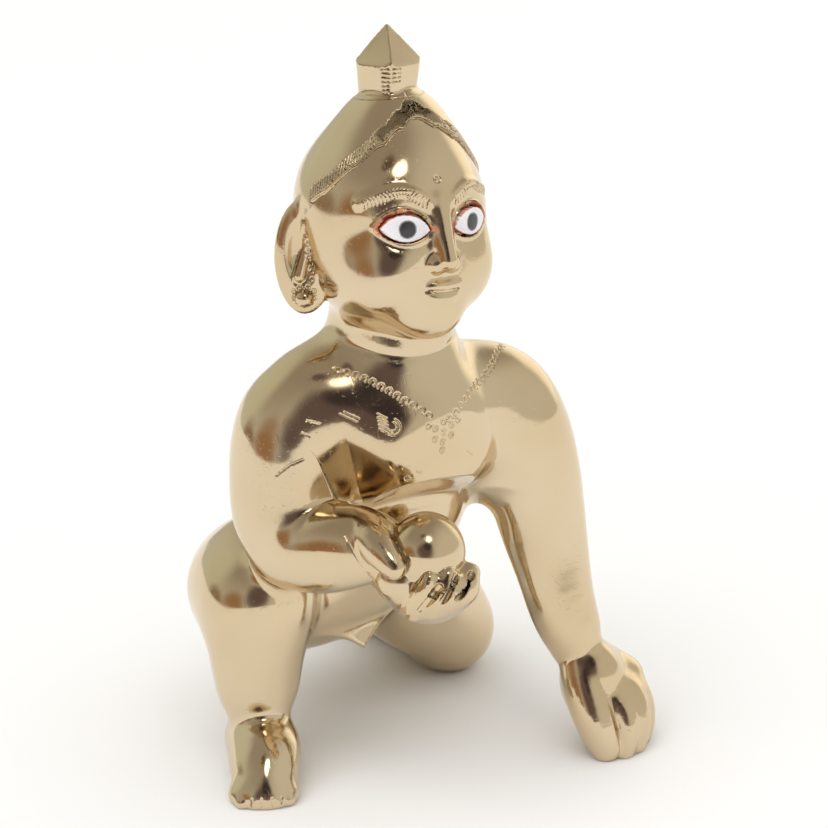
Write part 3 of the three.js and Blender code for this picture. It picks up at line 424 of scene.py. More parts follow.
def torso():
    chest = placed(egg((0, 0, 0), (13.2, 11.0, 11.0)), (-1.3, 0.8, 46.8), turned("Y", 6))
    shoulders = placed(egg((0, 0, 0), (12.6, 7.2, 5.6)), (-2.2, 3.0, 51.6), turned("Y", 6))
    under_arm = bar((9.0, 0.5, 43.0), (11.2, -0.6, 37.6), 5.0, 3.6)
    neck = bar((-2.3, 2.2, 66), (-2.2, 1.8, 56), 7.2, 8.4)
    belly = egg((-0.8, 7.8, 35), (11.6, 12.0, 10.5))
    hips = egg((-0.6, 19.5, 22), (13.0, 11.0, 11.0))
    buttock = ball((6.3, 25, 19.6), 8.6)
    fold = loincloth()
    edge_height = 42.3
    edge_slope = 0.07
    under_slope = 1.2
    under_scale = 1 / math.hypot(1, under_slope)

    def whole(p):
        x, y, z = p.T
        d = blend(chest(p), shoulders(p), 4)
        d = blend(d, under_arm(p), 2)
        front = breast_front(p)
        d = carve(d, front, 1.0)
        under = (front - (edge_height - z - x * edge_slope) * under_slope) * under_scale
        d = carve(d, under, CRISP)
        height = z - y * 0.25
        rolls = 0.3 * (bump(height, 62.2, 0.6) + bump(height, 59.6, 0.6)) * ramp(1, -3, y)
        d = blend(d, neck(p) + rolls, 3)
        d = blend(d, belly(p), 1.5 + 5 * ramp(-3, 6, y))
        d = blend(d, hips(p), 6)
        d = blend(d, buttock(np.column_stack((np.abs(x + 0.6), y, z))), 2)
        return blend(d, fold(p), 0.8)

    return near([(0, 5, 50, 18), (0, 20, 22, 20)], whole)


def loincloth():
    """Pointed end of the loincloth, a flat tongue that hangs between the thighs."""
    tip = vector(-1.6, 10.6, 12.2)
    thickness = 1.3
    spread = 1.4
    rear_lean = 0.35
    steepness = 1 / math.hypot(1, spread)

    def shape(p):
        x, y, z = (p - tip).T
        sides = (np.abs(x) - z * spread) * steepness
        slab = np.abs(y - z * rear_lean) - thickness
        return carve(np.maximum(sides, z - 5), -slab, 0.8)

    return near([(-1.6, 11, 16, 7)], shape)


# Right arm: the elbow hangs and the forearm comes forward with the hand held up
def right_upper_arm():
    return limb(
        (-12.0, 3.8, 51.2, 6.7),
        (-15.6, 4.4, 46.6, 6.6),
        (-16.9, 3.6, 39.0, 6.1),
        (-16.8, 1.8, 34.0, 5.7),
    )


def right_forearm():
    return limb((-16.8, 1.6, 33.4, 5.4), (-15.0, -4.4, 34.6, 4.7), (-11.8, -9.6, 36.2, 3.6))


NOTCH_ROUNDING = 0.7


def arm_notch():
    """Leaf-shaped notch with two flat faces, filed between the right arm and the breast."""
    foot = vector(-9.3, -2.6, 38.6)
    peak = vector(-13.3, -4.9, 49.7)
    arm_rim = vector(-16.2, -3.4, 46.6)
    breast_rim = vector(-7.9, -7.8, 43.4)
    heel = vector(-13.0, -6.0, 39.5)
    lowest = 38.3
    normals = []
    for one, other in ((peak, arm_rim), (breast_rim, peak)):
        normal = np.cross(one - foot, other - foot)
        normal *= -np.sign(normal[1]) / np.linalg.norm(normal)
        normals.append(normal)
    run = heel - arm_rim
    edge = vector(run[2], 0, -run[0]) / math.hypot(run[0], run[2])  # towards the arm

    def shape(p):
        offset = p - foot
        faces = reduce(np.maximum, [-offset @ normal for normal in normals])
        return np.maximum(np.maximum(faces, (p - arm_rim) @ edge), lowest - p[:, 2])

    return shape


def crook_of(start, end, shift):
    """Middle station of a crooked finger: half way from start to end, and out by a shift."""
    swell = 0.07
    return (vector(*start) + vector(*end)) / 2 + vector(*shift, swell)


SWEET_CENTRE = (-7.3, -13.8, 35.6)
SWEET_RADIUS = 5.0
HAND_TURN = turned("Z", -33) @ turned("X", -20)


def right_hand():
    """The hand with its ball of butter, turned half way round to the right and tipped down."""
    sweet = ball((0, 0, 0), SWEET_RADIUS)
    palm = egg((0.4, 1.6, -4.6), (5.6, 3.4, 4.4))
    heel = bar((-4.6, 4.6, -1.6), (-3.0, -0.4, -3.4), 3.4, 3.1)
    thumb = bent_bar((-7.2, -0.2, 2.4, 2.4), (-6.0, -2.9, 0.8, 2.2), (-3.8, -4.6, -1.8, 1.5))
    knuckles = ((-1.5, -7.3), (0.9, -6.9), (2.9, -6.1), (4.5, -5.1))
    tips = ((0.4, -3.2), (2.7, -2.7), (4.5, -2.2), (5.7, -2.6))
    knuckle_depth = -0.8
    fingers = []
    for (across, up), (tip_across, tip_up) in zip(knuckles, tips):
        tip_depth = -0.1 - math.sqrt(max(SWEET_RADIUS**2 - tip_across**2 - tip_up**2, 0))
        start = (across, knuckle_depth, up, 1.3)
        end = (tip_across, tip_depth, tip_up, 1.05)
        fingers.append(bent_bar(start, crook_of(start, end, (-0.1, -0.7, -0.3)), end))
    web = egg((2.2, -0.5, -4.6), (4.3, 4.0, 2.9))
    slit_radius = 0.5
    slits = [
        bar((-0.5, -3.3, -7.2), (1.7, -4.7, -4.2), slit_radius, slit_radius),
        bar((1.9, -4.3, -6.6), (3.8, -3.9, -2.8), slit_radius, slit_radius),
        bar((4.0, -4.0, -5.7), (5.8, -1.8, -2.6), slit_radius, slit_radius),
    ]

    def whole(p):
        d = blend(palm(p), heel(p), 1.5)
        d = blend(d, web(p), 1.0)
        for finger in fingers:
            d = blend(d, finger(p), 1.0)
        d = reduce(lambda hand, slit: carve(hand, slit(p), CRISP), slits, d)
        d = blend(d, thumb(p), 0.3)
        return blend(sweet(p), d, 0.2)

    return placed(near([(0, 0, -2, 12)], whole), SWEET_CENTRE, HAND_TURN)


# Left arm stands straight down to the floor
def left_arm():
    return limb(
        (11.2, 0.8, 48.6, 6.6),
        (14.4, -0.6, 44.6, 6.5),
        (17.0, -2.0, 36.5, 5.7),
        (18.3, -3.6, 28.0, 4.6),
        (19.1, -6.2, 20.0, 3.7),
        (20.0, -8.0, 14.5, 2.9),
    )


def left_hand():
    back = placed(egg((0, 0, 0), (4.6, 4.2, 6.6)), (22.2, -9.8, 8.4), turned("Y", -16))
    side = egg((24.0, -11.0, 5.8), (4.8, 4.0, 4.6))
    thumb = bent_bar((19.6, -9.8, 11.4, 2.5), (19.9, -12.3, 6.4, 2.9), (20.9, -14.3, 1.5, 2.1))
    outer_edge = bar((20.6, -7.6, 13.4), (27.0, -8.8, 7.8), 2.9, 3.4)
    fill = egg((24.6, -11.0, 4.8), (4.6, 4.0, 5.2))
    fingers = [
        bent_bar(knuckle, crook_of(knuckle, tip, (0.5, -0.7, 0.5)), tip)
        for knuckle, tip in (
            ((23.2, -13.4, 6.8, 1.8), (23.2, -15.2, 0.9, 1.5)),
            ((25.6, -12.6, 7.2, 1.8), (25.4, -14.7, 0.9, 1.5)),
            ((27.6, -10.8, 7.4, 1.8), (27.6, -13.0, 1.0, 1.5)),
            ((28.6, -8.6, 7.2, 1.8), (29.0, -10.6, 1.2, 1.4)),
        )
    ]

    def whole(p):
        d = blend(back(p), side(p), 1)
        d = blend(d, outer_edge(p), 1)
        d = blend(d, fill(p), 1)
        for finger in fingers:
            d = blend(d, finger(p), 0.8)
        return blend(d, thumb(p), 0.35)

    return near([(24, -11, 7, 12)], whole)


def toes(start, end, radius):
    """Toes as a low ridge across the front of a foot, notched between."""
    bulge = 0.5
    balls = []
    for t in np.linspace(0, 1, 5):
        x, y, z = (1 - t) * vector(*start) + t * vector(*end)
        balls.append(ball((x, y - bulge * math.sin(t * math.pi), z), radius))
    return lambda p: reduce(np.minimum, (toe(p) for toe in balls))


def right_leg():
    """The knee is up and the foot is flat on the floor."""
    thigh = limb((-7.0, 18.5, 20.5, 9.3), (-14.2, 16.0, 22.0, 8.4), (-18.0, 9.4, 24.0, 6.6))
    shin = limb((-18.0, 9.0, 23.5, 6.3), (-18.4, 9.2, 16.0, 5.3), (-18.6, 8.8, 9.5, 4.1))
    foot = limb((-17.4, 11.5, 3.2, 3.7), (-19.8, 5.2, 4.2, 3.9), (-22.7, 0.4, 1.4, 3.3))
    instep = placed(egg((0, 0, 0), (4.5, 2.8, 2.0)), (-23.3, -0.5, 1.0), turned("Z", -28))
    row = toes((-26.6, -0.6, 0.7), (-21.2, -3.3, 0.8), 0.85)

    def whole(p):
        d = blend(thigh(p), shin(p), 2.5)
        sole = blend(foot(p), instep(p), 1.5)
        sole = blend(sole, row(p), 0.4)
        return blend(d, sole, 1.6)

    return near([(-16, 10, 14, 24)], whole)


def left_leg():
    """The knee and shin lie on the floor, and the foot is turned sole up behind."""
    thigh = limb((7.0, 22.0, 20.0, 9.0), (13.6, 20.9, 12.8, 7.2), (19.6, 20.9, 6.4, 5.9))
    shin = limb((19.6, 21.4, 5.4, 5.7), (18.4, 30.0, 6.3, 4.8), (16.6, 36.5, 5.4, 3.7))
    foot = limb((16.6, 36.5, 5.2, 3.4), (15.8, 41.0, 3.5, 3.0), (15.3, 44.0, 2.1, 2.6))
    row = toes((12.6, 46.2, 1.1), (18.1, 46.6, 1.1), 1.0)

    def whole(p):
        d = blend(thigh(p), shin(p), 2)
        d = blend(d, foot(p), 1.5)
        return blend(d, row(p), 0.4)

    return near([(12, 30, 10, 24)], whole)


def figure_form():
    """The whole figure, cut flat where it stands."""
    trunk = torso()
    upper_arm = right_upper_arm()
    notch = arm_notch()
    joined = (
        (right_forearm(), 1.0),
        (right_leg(), 2.5),
        (left_leg(), 3.0),
        (left_arm(), 3.5),
        (head(), 1.4),
        (right_hand(), 0.5),
        (left_hand(), 1.2),
    )

    def whole(p):
        d = blend(trunk(p), upper_arm(p), 4.5)
        d = carve(d, notch(p), NOTCH_ROUNDING)
        for part, width in joined:
            d = blend(d, part(p), width)
        return np.maximum(d, -p[:, 2])

    return whole


# Gentle unevenness left by the file and the buff
WAVES = (
    ((0.52, 0.31, 0.22), 0.6),
    ((-0.28, 0.44, 0.50), 2.1),
    ((0.15, -0.55, 0.63), 4.0),
    ((0.61, 0.09, -0.47), 5.2),
)  # turns of each wave along the three axes, in radians for a unit, and its phase


def uneven(form, height):
    """The form with low waves in it, which die out towards the floor."""

    def whole(p):
        waves = sum(np.sin(p @ vector(*turns) + phase) for turns, phase in WAVES)
        return form(p) + height * waves * np.clip(p[:, 2] / 3 - 0.5, 0, 1)

    return whole


# Laying points on a form
GRADIENT_STEP = 2e-3
CORNERS = vector(1, -1, -1), vector(-1, -1, 1), vector(-1, 1, -1), vector(1, 1, 1)


def gradient(form, p):
    total = sum(corner * form(p + corner * GRADIENT_STEP)[:, None] for corner in CORNERS)
    return total / (4 * GRADIENT_STEP)


def laid_on(form, p, steps=3, most=1.0):
    """Points moved along the gradient until they lie on the form's surface."""
    p = p.copy()
    for _ in range(steps):
        d = form(p)
        slope = gradient(form, p)
        square = np.maximum(np.einsum("ij,ij->i", slope, slope), 0.05)
        move = slope * (d / square)[:, None]
        size = length(move)
        p -= move * np.minimum(1.0, most / np.maximum(size, TINY))[:, None]
    return p


def to_form(points):
    return (np.asarray(points) - FORM_PLACE) / UNIT


def from_form(p):
    return p * UNIT + FORM_PLACE


# Marks scored and punched in the metal, as short lines on the form's surface
class Marks:
    def __init__(self, segments, radius):
        segments = np.array(segments, dtype=float)
        self.start = segments[:, 0]
        self.axis = segments[:, 1] - segments[:, 0]
        self.square = np.maximum(np.einsum("ij,ij->i", self.axis, self.axis), TINY)
        self.radius = radius
        points = segments.reshape(-1, 3)
        self.low = points.min(axis=0) - FAR / 4
        self.high = points.max(axis=0) + FAR / 4

    def distance(self, p, chunk=3000):
        """Distance to the nearest mark's wall, or a large number far from all of them."""
        result = np.full(len(p), FAR)
        close = np.flatnonzero(((p > self.low) & (p < self.high)).all(axis=1))
        for first in range(0, len(close), chunk):
            these = close[first:first + chunk]
            offset = p[these, None] - self.start[None]
            share = np.clip(np.einsum("nmi,mi->nm", offset, self.axis) / self.square, 0, 1)
            gap = offset - share[..., None] * self.axis[None]
            result[these] = np.sqrt(np.einsum("nmi,nmi->nm", gap, gap).min(axis=1)) - self.radius
        return result


def with_marks(form, groups):
    burr = 0.06  # rounding of a mark's edges

    def whole(p):
        d = form(p)
        for marks in groups:
            d = carve(d, marks.distance(p), burr)
        return d

    return whole


def marks_distance(groups, p):
    return reduce(np.minimum, (marks.distance(p) for marks in groups))


def head_to_form(p):
    return np.asarray(p, dtype=float) @ HEAD_TURN.T + vector(*HEAD_CENTRE)


def form_to_head(p):
    return (p - vector(*HEAD_CENTRE)) @ HEAD_TURN


def unit(v):
    return v / np.maximum(length(v), TINY)[:, None]


def surface_frames(form, points):
    """Each point laid on the surface, with the surface's normal there."""
    on = laid_on(form, np.array(points, dtype=float), steps=4)
    return on, unit(gradient(form, on))


def spaced(points, step):
    """Points along a line at an even step."""
    points = np.array(points, dtype=float)
    run = np.concatenate(([0.0], np.cumsum(length(np.diff(points, axis=0)))))
    count = max(int(run[-1] / step), 1)
    places = np.linspace(0, run[-1], count + 1)
    return np.column_stack([np.interp(places, run, axis) for axis in points.T])


def across_line(form, points, toward):
    """Points of a line laid on the surface, with the surface directions across and along the line."""
    on, normals = surface_frames(form, points)
    along = unit(np.gradient(on, axis=0))
    across = unit(np.cross(normals, along))
    across *= np.sign(across @ vector(*toward))[:, None]
    return on, across, along


def strokes(form, points, toward, low, high, radius, lean=0.0):
    """Short strokes across a line, from low to high on the side that toward points to."""
    on, across, along = across_line(form, points, toward)
    start = laid_on(form, on + across * low)
    end = laid_on(form, on + across * high + along * lean)
    return Marks(np.stack((start, end), axis=1), radius)


def scored_lines(form, lines, radius, step=0.4):
    segments = []
    for line in lines:
        points = laid_on(form, spaced(line, step))
        segments += list(zip(points[:-1], points[1:]))
    return Marks(segments, radius)


def punched_rings(form, centres, ring_radius, radius, opening=0.0, start=0.0, sides=8):
    """Rings on the surface; an opening in degrees leaves each one a crescent, turned by start."""
    on, normals = surface_frames(form, centres)
    across = unit(np.cross(vector(0, 0, 1), normals))
    upward = np.cross(normals, across)
    angles = np.radians(start + np.linspace(opening / 2, 360 - opening / 2, sides + 1))
    around = np.cos(angles)[:, None, None] * across + np.sin(angles)[:, None, None] * upward
    flat = laid_on(form, (on + ring_radius * around).reshape(-1, 3), steps=2).reshape(around.shape)
    return Marks(np.stack((flat[:-1], flat[1:]), axis=2).reshape(-1, 2, 3), radius)


def hair_line(form, side, rise, degrees):
    """Line at a rise over the hair's edge on one side of the head, laid on the form."""
    angle = np.radians(degrees)
    height = hair_edge(degrees) + rise
    reach = np.full(len(angle), 6.0)
    for _ in range(12):
        line = np.column_stack((side * reach * np.sin(angle), -reach * np.cos(angle), height))
        reach -= form(head_to_form(line)) * 0.9
    return laid_on(form, head_to_form(line))


def hair_marks(form):
    """Hatching on the hair along its edge, a scored line under it, and the parting."""
    hatch_low, hatch_high, scored_rise = 0.5, 2.0, 0.36  # over the hair's edge
    hatch_lean = 1.2  # degrees towards the back
    degrees = np.linspace(1.5, SCALLOPS_END, 50)
    groups = []
    for side in (-1, 1):
        low = hair_line(form, side, hatch_low, degrees)
        high = hair_line(form, side, hatch_high, degrees + hatch_lean)
        groups.append(Marks(np.stack((low, high), axis=1), 0.12))
        groups.append(scored_lines(form, [hair_line(form, side, scored_rise, degrees)], 0.08))
    parting = head_to_form(smooth_run([(0.1, -5.2, 12.9), (0.05, -4.0, 14.0), (0.3, -2.4, 15.2)], 6))
    groups.append(scored_lines(form, [parting], 0.13))
    return groups


def brow_marks(form):
    """Hatched hairs along the brows, and a small ring on the forehead."""
    groups = []
    for side in (-1, 1):
        stations = [(side * 1.9, -11.2, 3.4), (side * 4.9, -10.2, 4.8), (side * 8.6, -7.4, 3.4)]
        line = spaced(head_to_form(smooth_run(stations, 8)), 0.42)
        groups.append(strokes(form, line, (0, 0, -1), -0.25, 0.85, 0.09, lean=side * 0.12))
    groups.append(punched_rings(form, [head_to_form((-0.1, -10.9, 5.9))], 0.42, 0.14))
    return groups


def topknot_marks(form):
    """Comb marks down the front corner of the topknot, and a ring round its foot."""
    turn = turned("Z", 20)
    top_row, row_step = 18.3, 0.52
    left_face = (-2.95, -1.6), (-2.9, -2.5)
    right_face = (-2.6, -2.8), (-1.5, -2.95)
    segments = []
    for row in range(7):
        z = top_row - row * row_step
        for face in (left_face, right_face) if row < 4 else (left_face,):
            ends = [vector(x, y, z) @ turn.T + vector(0, 0.6, 0) for x, y in face]
            segments.append(head_to_form(ends))
    flat = laid_on(form, np.array(segments).reshape(-1, 3)).reshape(-1, 2, 3)
    foot_radius, foot_height = 3.9, 14.2
    angles = np.radians(np.linspace(0, 360, 49))
    across, deep = foot_radius * np.cos(angles), 0.6 + foot_radius * np.sin(angles)
    foot = head_to_form(np.column_stack((across, deep, np.full(len(angles), foot_height))))
    return [Marks(flat, 0.1), scored_lines(form, [foot], 0.1)]


def ear_marks(form):
    """Granules round the stud of each earring."""
    groups = []
    angles = np.radians(np.arange(0, 360, 36))
    ring_radius = 1.55
    for side in (-1, 1):
        turn = turned("Z", side * 32)
        across, up = 0.1 + ring_radius * np.cos(angles), -5.0 + ring_radius * np.sin(angles)
        ring = np.column_stack((across, np.full(len(angles), -1.2), up))
        column = np.column_stack((np.full(7, -0.9), np.full(7, -1.0), np.linspace(-2.6, 3.2, 7)))
        granules = np.vstack((ring, column)) * (side, 1, 1)
        centres = head_to_form(granules @ turn.T + (side * 11.0, 2.6, -4.8))
        groups.append(punched_rings(form, centres, 0.3, 0.1, sides=6))
    return groups


def necklace_marks(form):
    """Chain of punched crescents with a rosette of dots where it meets."""
    bead = 1.12  # step from one to the next
    middle_x, middle_y, middle_z = -1.7, -9.3, 48.8
    right = smooth_run([(-12.4, -1.8, 56.8), (-9.6, -4.3, 55.7), (-6.6, -7.1, 53.6), (-3.7, -9.0, 51.3)], 8)
    left = smooth_run([(-0.7, -9.3, 50.4), (3.4, -7.7, 52.5), (8.8, -4.2, 53.7), (13.0, -0.8, 55.5)], 8)
    beads = [punched_rings(form, spaced(right, bead), 0.4, 0.14, opening=110, start=235)]
    beads.append(punched_rings(form, spaced(left, bead), 0.4, 0.14, opening=110, start=305))
    rosette = [(middle_x, middle_y, middle_z)]
    for reach, count, first in ((1.4, 6, 30), (2.5, 3, 30)):
        for angle in np.radians(first + np.arange(count) * 360 / count):
            across, up = reach * math.cos(angle), reach * math.sin(angle)
            rosette.append((middle_x + across, middle_y, middle_z + up))
    beads.append(punched_rings(form, rosette, 0.32, 0.13, sides=7))
    beads.append(punched_rings(form, [(-6.4, -8.5, 43.5), (5.6, -8.6, 42.6)], 0.42, 0.15))
    return beads


def chest_marks(form):
    """Traditional foot mark on the breast, and loose strokes of the graver."""
    foot = (-8.6, -7.6, 50.7)
    right, up = vector(0.75, -0.66, 0.05), vector(-0.1, 0.0, 1.0)
    lines = []
    for row in range(5):
        middle = foot + right * -0.7 + up * (1.0 - row * 0.5)
        lines.append([middle - right * 0.55 + up * 0.4, middle + right * 0.5 - up * 0.2])
    arc_middle = foot + right * 0.35 - up * 0.3
    for reach in (0.65, 1.15):
        arc = np.radians(np.linspace(-120, 60, 9))
        lines.append([arc_middle + reach * (right * math.cos(a) + up * math.sin(a)) for a in arc])
    loose = (
        ((-13.6, -4.2, 52.0), (-11.9, -5.4, 51.0)),
        ((-13.1, -4.5, 52.2), (-11.6, -5.5, 51.4)),
        ((-17.3, -2.4, 51.3), (-15.9, -3.3, 50.9)),
        ((-18.0, -2.4, 49.8), (-17.2, -2.9, 49.4)),
        ((-5.4, -8.8, 44.2), (-4.6, -8.9, 43.8)),
        ((2.2, -8.9, 45.4), (2.9, -8.9, 44.8)),
    )
    return [scored_lines(form, lines, 0.12), scored_lines(form, loose, 0.1)]


def limb_marks(form):
    """Notches between the toes, nicks on the arm and the creases of the right hand."""
    notches = []
    right_toes = (-27.2, -1.6, 0.7), (-21.4, -4.4, 0.8)
    left_toes = (12.6, 47.3, 1.1), (18.1, 47.7, 1.1)
    for start, end in (right_toes, left_toes):
        for share in (0.2, 0.4, 0.6, 0.8):
            base = (1 - share) * vector(*start) + share * vector(*end)
            notches.append([base, base + vector(0, 0, 0.9)])
    nicks = [((-21.0, -1.3, 44.6), (-19.6, -2.1, 45.9), (-18.1, -2.8, 46.5))]
    hand = (
        ((-16.4, -9.9, 38.3), (-16.1, -11.2, 36.6), (-15.4, -11.9, 34.9)),
        ((-14.6, -12.0, 34.0), (-13.8, -12.1, 32.4), (-13.1, -12.5, 30.8)),
    )
    return [
        scored_lines(form, notches, 0.16, 0.3),
        scored_lines(form, nicks, 0.16),
        scored_lines(form, hand, 0.09),
    ]


def figure_marks(form):
    makers = (hair_marks, brow_marks, topknot_marks, ear_marks, necklace_marks, chest_marks, limb_marks)
    return [marks for maker in makers for marks in maker(form)]


# Mesh of the casting
def select_only(piece):
    bpy.ops.object.select_all(action="DESELECT")
    piece.select_set(True)
    bpy.context.view_layer.objects.active = piece


def copy_of_node(node, name):
    """A merged copy of a node's mesh, as a new piece."""
    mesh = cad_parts[node].data.copy()
    mesh.materials.clear()
    piece = bpy.data.objects.new(name, mesh)
    bpy.context.scene.collection.objects.link(piece)
    select_only(piece)
    bpy.ops.object.mode_set(mode="EDIT")
    bpy.ops.mesh.select_all(action="SELECT")
    bpy.ops.mesh.remove_doubles(threshold=1e-6)
    bpy.ops.object.mode_set(mode="OBJECT")
    return piece


def remesh(piece, edge):
    modifier = piece.modifiers.new("Even mesh", "REMESH")
    modifier.mode = "VOXEL"
    modifier.voxel_size = edge
    modifier.adaptivity = 0.0
    bpy.ops.object.modifier_apply(modifier=modifier.name)


def coordinates(mesh):
    flat = np.empty(len(mesh.vertices) * 3)
    mesh.vertices.foreach_get("co", flat)
    return flat.reshape(-1, 3)


def set_coordinates(mesh, points):
    mesh.vertices.foreach_set("co", points.astype(np.float32).ravel())
    mesh.update()


def edge_ends(mesh):
    flat = np.empty(len(mesh.edges) * 2, dtype=np.int32)
    mesh.edges.foreach_get("vertices", flat)
    return flat.reshape(-1, 2)


def split_edges(piece, chosen):
    """Splits the chosen edges at their middles and triangulates what that leaves."""
    mesh = piece.data
    mesh.edges.foreach_set("select", chosen)
    select_only(piece)
    bpy.ops.object.mode_set(mode="EDIT")
    bpy.ops.mesh.subdivide(number_cuts=1, quadcorner="INNERVERT")
    bpy.ops.mesh.select_all(action="SELECT")
    bpy.ops.mesh.quads_convert_to_tris(quad_method="SHORTEST_DIAGONAL", ngon_method="BEAUTY")
    bpy.ops.object.mode_set(mode="OBJECT")


def clear_selection(mesh):
    for part in (mesh.vertices, mesh.edges, mesh.polygons):
        part.foreach_set("select", np.zeros(len(part), dtype=bool))


WIDEST_EDGE = 1.6  # of the body's edge, where the surface hardly turns
MARK_SPREAD = 0.6  # growth of the edges with their distance from a mark
SPLIT_ABOVE = 1.4  # times the wanted length


def refine(piece, form, groups, settings, passes):
    """Splits long edges near marks, carving and creases, laying each new point on the form."""
    body = settings.body_edge / UNIT
    carved = settings.carved_edge / UNIT
    finest = settings.mark_edge / UNIT
    for _ in range(passes):
        mesh = piece.data
        p = to_form(coordinates(mesh))
        ends = edge_ends(mesh)
        normals = unit(gradient(form, p))
        one, other = p[ends[:, 0]], p[ends[:, 1]]
        middle = (one + other) / 2
        long = length(one - other)
        cosine = np.einsum("ij,ij->i", normals[ends[:, 0]], normals[ends[:, 1]])
        bent = np.degrees(np.arccos(np.clip(cosine, -1, 1)))
        by_bend = np.clip(body * settings.bend_degrees / np.maximum(bent, 1), carved, body * WIDEST_EDGE)
        distance = np.maximum(marks_distance(groups, middle), 0)
        by_mark = finest + MARK_SPREAD * distance
        wanted = np.minimum(by_bend, by_mark)
        chosen = long > SPLIT_ABOVE * wanted
        if not chosen.any():
            break
        clear_selection(mesh)
        split_edges(piece, chosen)
        mesh = piece.data
        p = to_form(coordinates(mesh))
        fresh = np.arange(len(p)) >= len(normals)
        p[fresh] = laid_on(form, p[fresh], steps=2, most=carved)
        set_coordinates(mesh, from_form(p))


RECESS_REACH = 0.7  # how far out from the surface a crease is felt
OPEN_SHARE = 0.65  # of that reach is clear where the painted shade of a crease begins


def painted_lids(p):
    """Share of paint on the lids round the enamel, most over its upper outer side."""
    q = form_to_head(p)
    paint = np.zeros(len(p))
    for side in (-1, 1):
        x, depth, z = in_eye_frame(q, side).T
        outward = side * x
        outside = outside_almond(x, z)
        band = 1 - np.clip(np.abs(outside - 0.35) / 0.65, 0, 1)
        placed_there = np.clip((z + 0.5 * outward - 1.4) / 1.6, 0, 1) + np.clip(np.abs(x) - 3.3, 0, 1)
        paint = np.maximum(paint, band * np.clip(placed_there, 0, 1) * (np.abs(depth) < 3.5))
    return np.clip(paint * 2.2, 0, 1)


def set_attribute(mesh, name, values):
    mesh.attributes.new(name, "FLOAT", "POINT").data.foreach_set("value", values.astype(np.float32))


def finish_surface(piece, whole, groups):
    """Sinks the marks, and stores the true normals, the painted shade of the creases with the dirt in the
    marks, and the painted lids.
    """
    mesh = piece.data
    p = laid_on(whole, to_form(coordinates(mesh)), steps=2, most=0.3)
    set_coordinates(mesh, from_form(p))
    normals = unit(gradient(whole, p))
    # Painted shade: the less open the space over a point, the darker its crease is painted, as if less light
    # reached it
    openness = whole(p + normals * RECESS_REACH) / RECESS_REACH
    crease = np.clip(1 - openness / OPEN_SHARE, 0, 1)
    in_mark = np.clip(-marks_distance(groups, p) / 0.05 + 0.6, 0, 1)
    # The recess attribute holds painted shade in the creases and dirt in the scored marks
    set_attribute(mesh, "recess", np.maximum(crease, in_mark))
    set_attribute(mesh, "paint", painted_lids(p))
    mesh.polygons.foreach_set("use_smooth", np.ones(len(mesh.polygons), dtype=bool))
    flat_base = p[:, 2] < 0.02
    normals[flat_base] = (0, 0, -1)
    mesh.normals_split_custom_set_from_vertices(normals)


# Materials
def new_material(name):
    material = bpy.data.materials.new(name)
    material.use_nodes = True
    tree = material.node_tree
    tree.nodes.clear()
    output = tree.nodes.new("ShaderNodeOutputMaterial")
    shader = tree.nodes.new("ShaderNodeBsdfPrincipled")
    tree.links.new(shader.outputs["BSDF"], output.inputs["Surface"])
    return material, tree, shader


def feed(tree, socket, value):
    """Links an output into a socket, or sets a plain value on it."""
    if isinstance(value, bpy.types.NodeSocket):
        tree.links.new(value, socket)
    elif socket.type == "RGBA":
        socket.default_value = (*tuple(value)[:3], 1)
    else:
        socket.default_value = value


def math_node(tree, operation, *values):
    node = tree.nodes.new("ShaderNodeMath")
    node.operation = operation
    for socket, value in zip(node.inputs, values):
        feed(tree, socket, value)
    return node.outputs["Value"]


def vector_node(tree, operation, output, *values):
    node = tree.nodes.new("ShaderNodeVectorMath")
    node.operation = operation
    for socket, value in zip(node.inputs, values):
        feed(tree, socket, value)
    return node.outputs[output]


def ramp_node(tree, value, low, high, start=0.0, end=1.0):
    node = tree.nodes.new("ShaderNodeMapRange")
    node.interpolation_type = "SMOOTHSTEP"
    names = "Value", "From Min", "From Max", "To Min", "To Max"
    for name, amount in zip(names, (value, low, high, start, end)):
        feed(tree, node.inputs[name], amount)
    return node.outputs["Result"]


def mix_node(tree, share, one, other):
    node = tree.nodes.new("ShaderNodeMix")
    node.data_type = "RGBA"
    factor, first, second = (
        next(socket for socket in node.inputs if socket.identifier == name)
        for name in ("Factor_Float", "A_Color", "B_Color")
    )
    feed(tree, factor, share)
    feed(tree, first, one)
    feed(tree, second, other)
    return next(socket for socket in node.outputs if socket.identifier == "Result_Color")


def noise_node(tree, place, scale, detail=2.0):
    node = tree.nodes.new("ShaderNodeTexNoise")
    for name, value in (("Vector", place), ("Scale", scale), ("Detail", detail)):
        feed(tree, node.inputs[name], value)
    return node.outputs["Fac"]


def attribute_node(tree, name):
    node = tree.nodes.new("ShaderNodeAttribute")
    node.attribute_name = name
    return node.outputs["Fac"]


def bump_node(tree, height, strength, distance, normal=None):
    node = tree.nodes.new("ShaderNodeBump")
    for name, value in (("Height", height), ("Strength", strength), ("Distance", distance)):
        feed(tree, node.inputs[name], value)
    if normal:
        feed(tree, node.inputs["Normal"], normal)
    return node.outputs["Normal"]


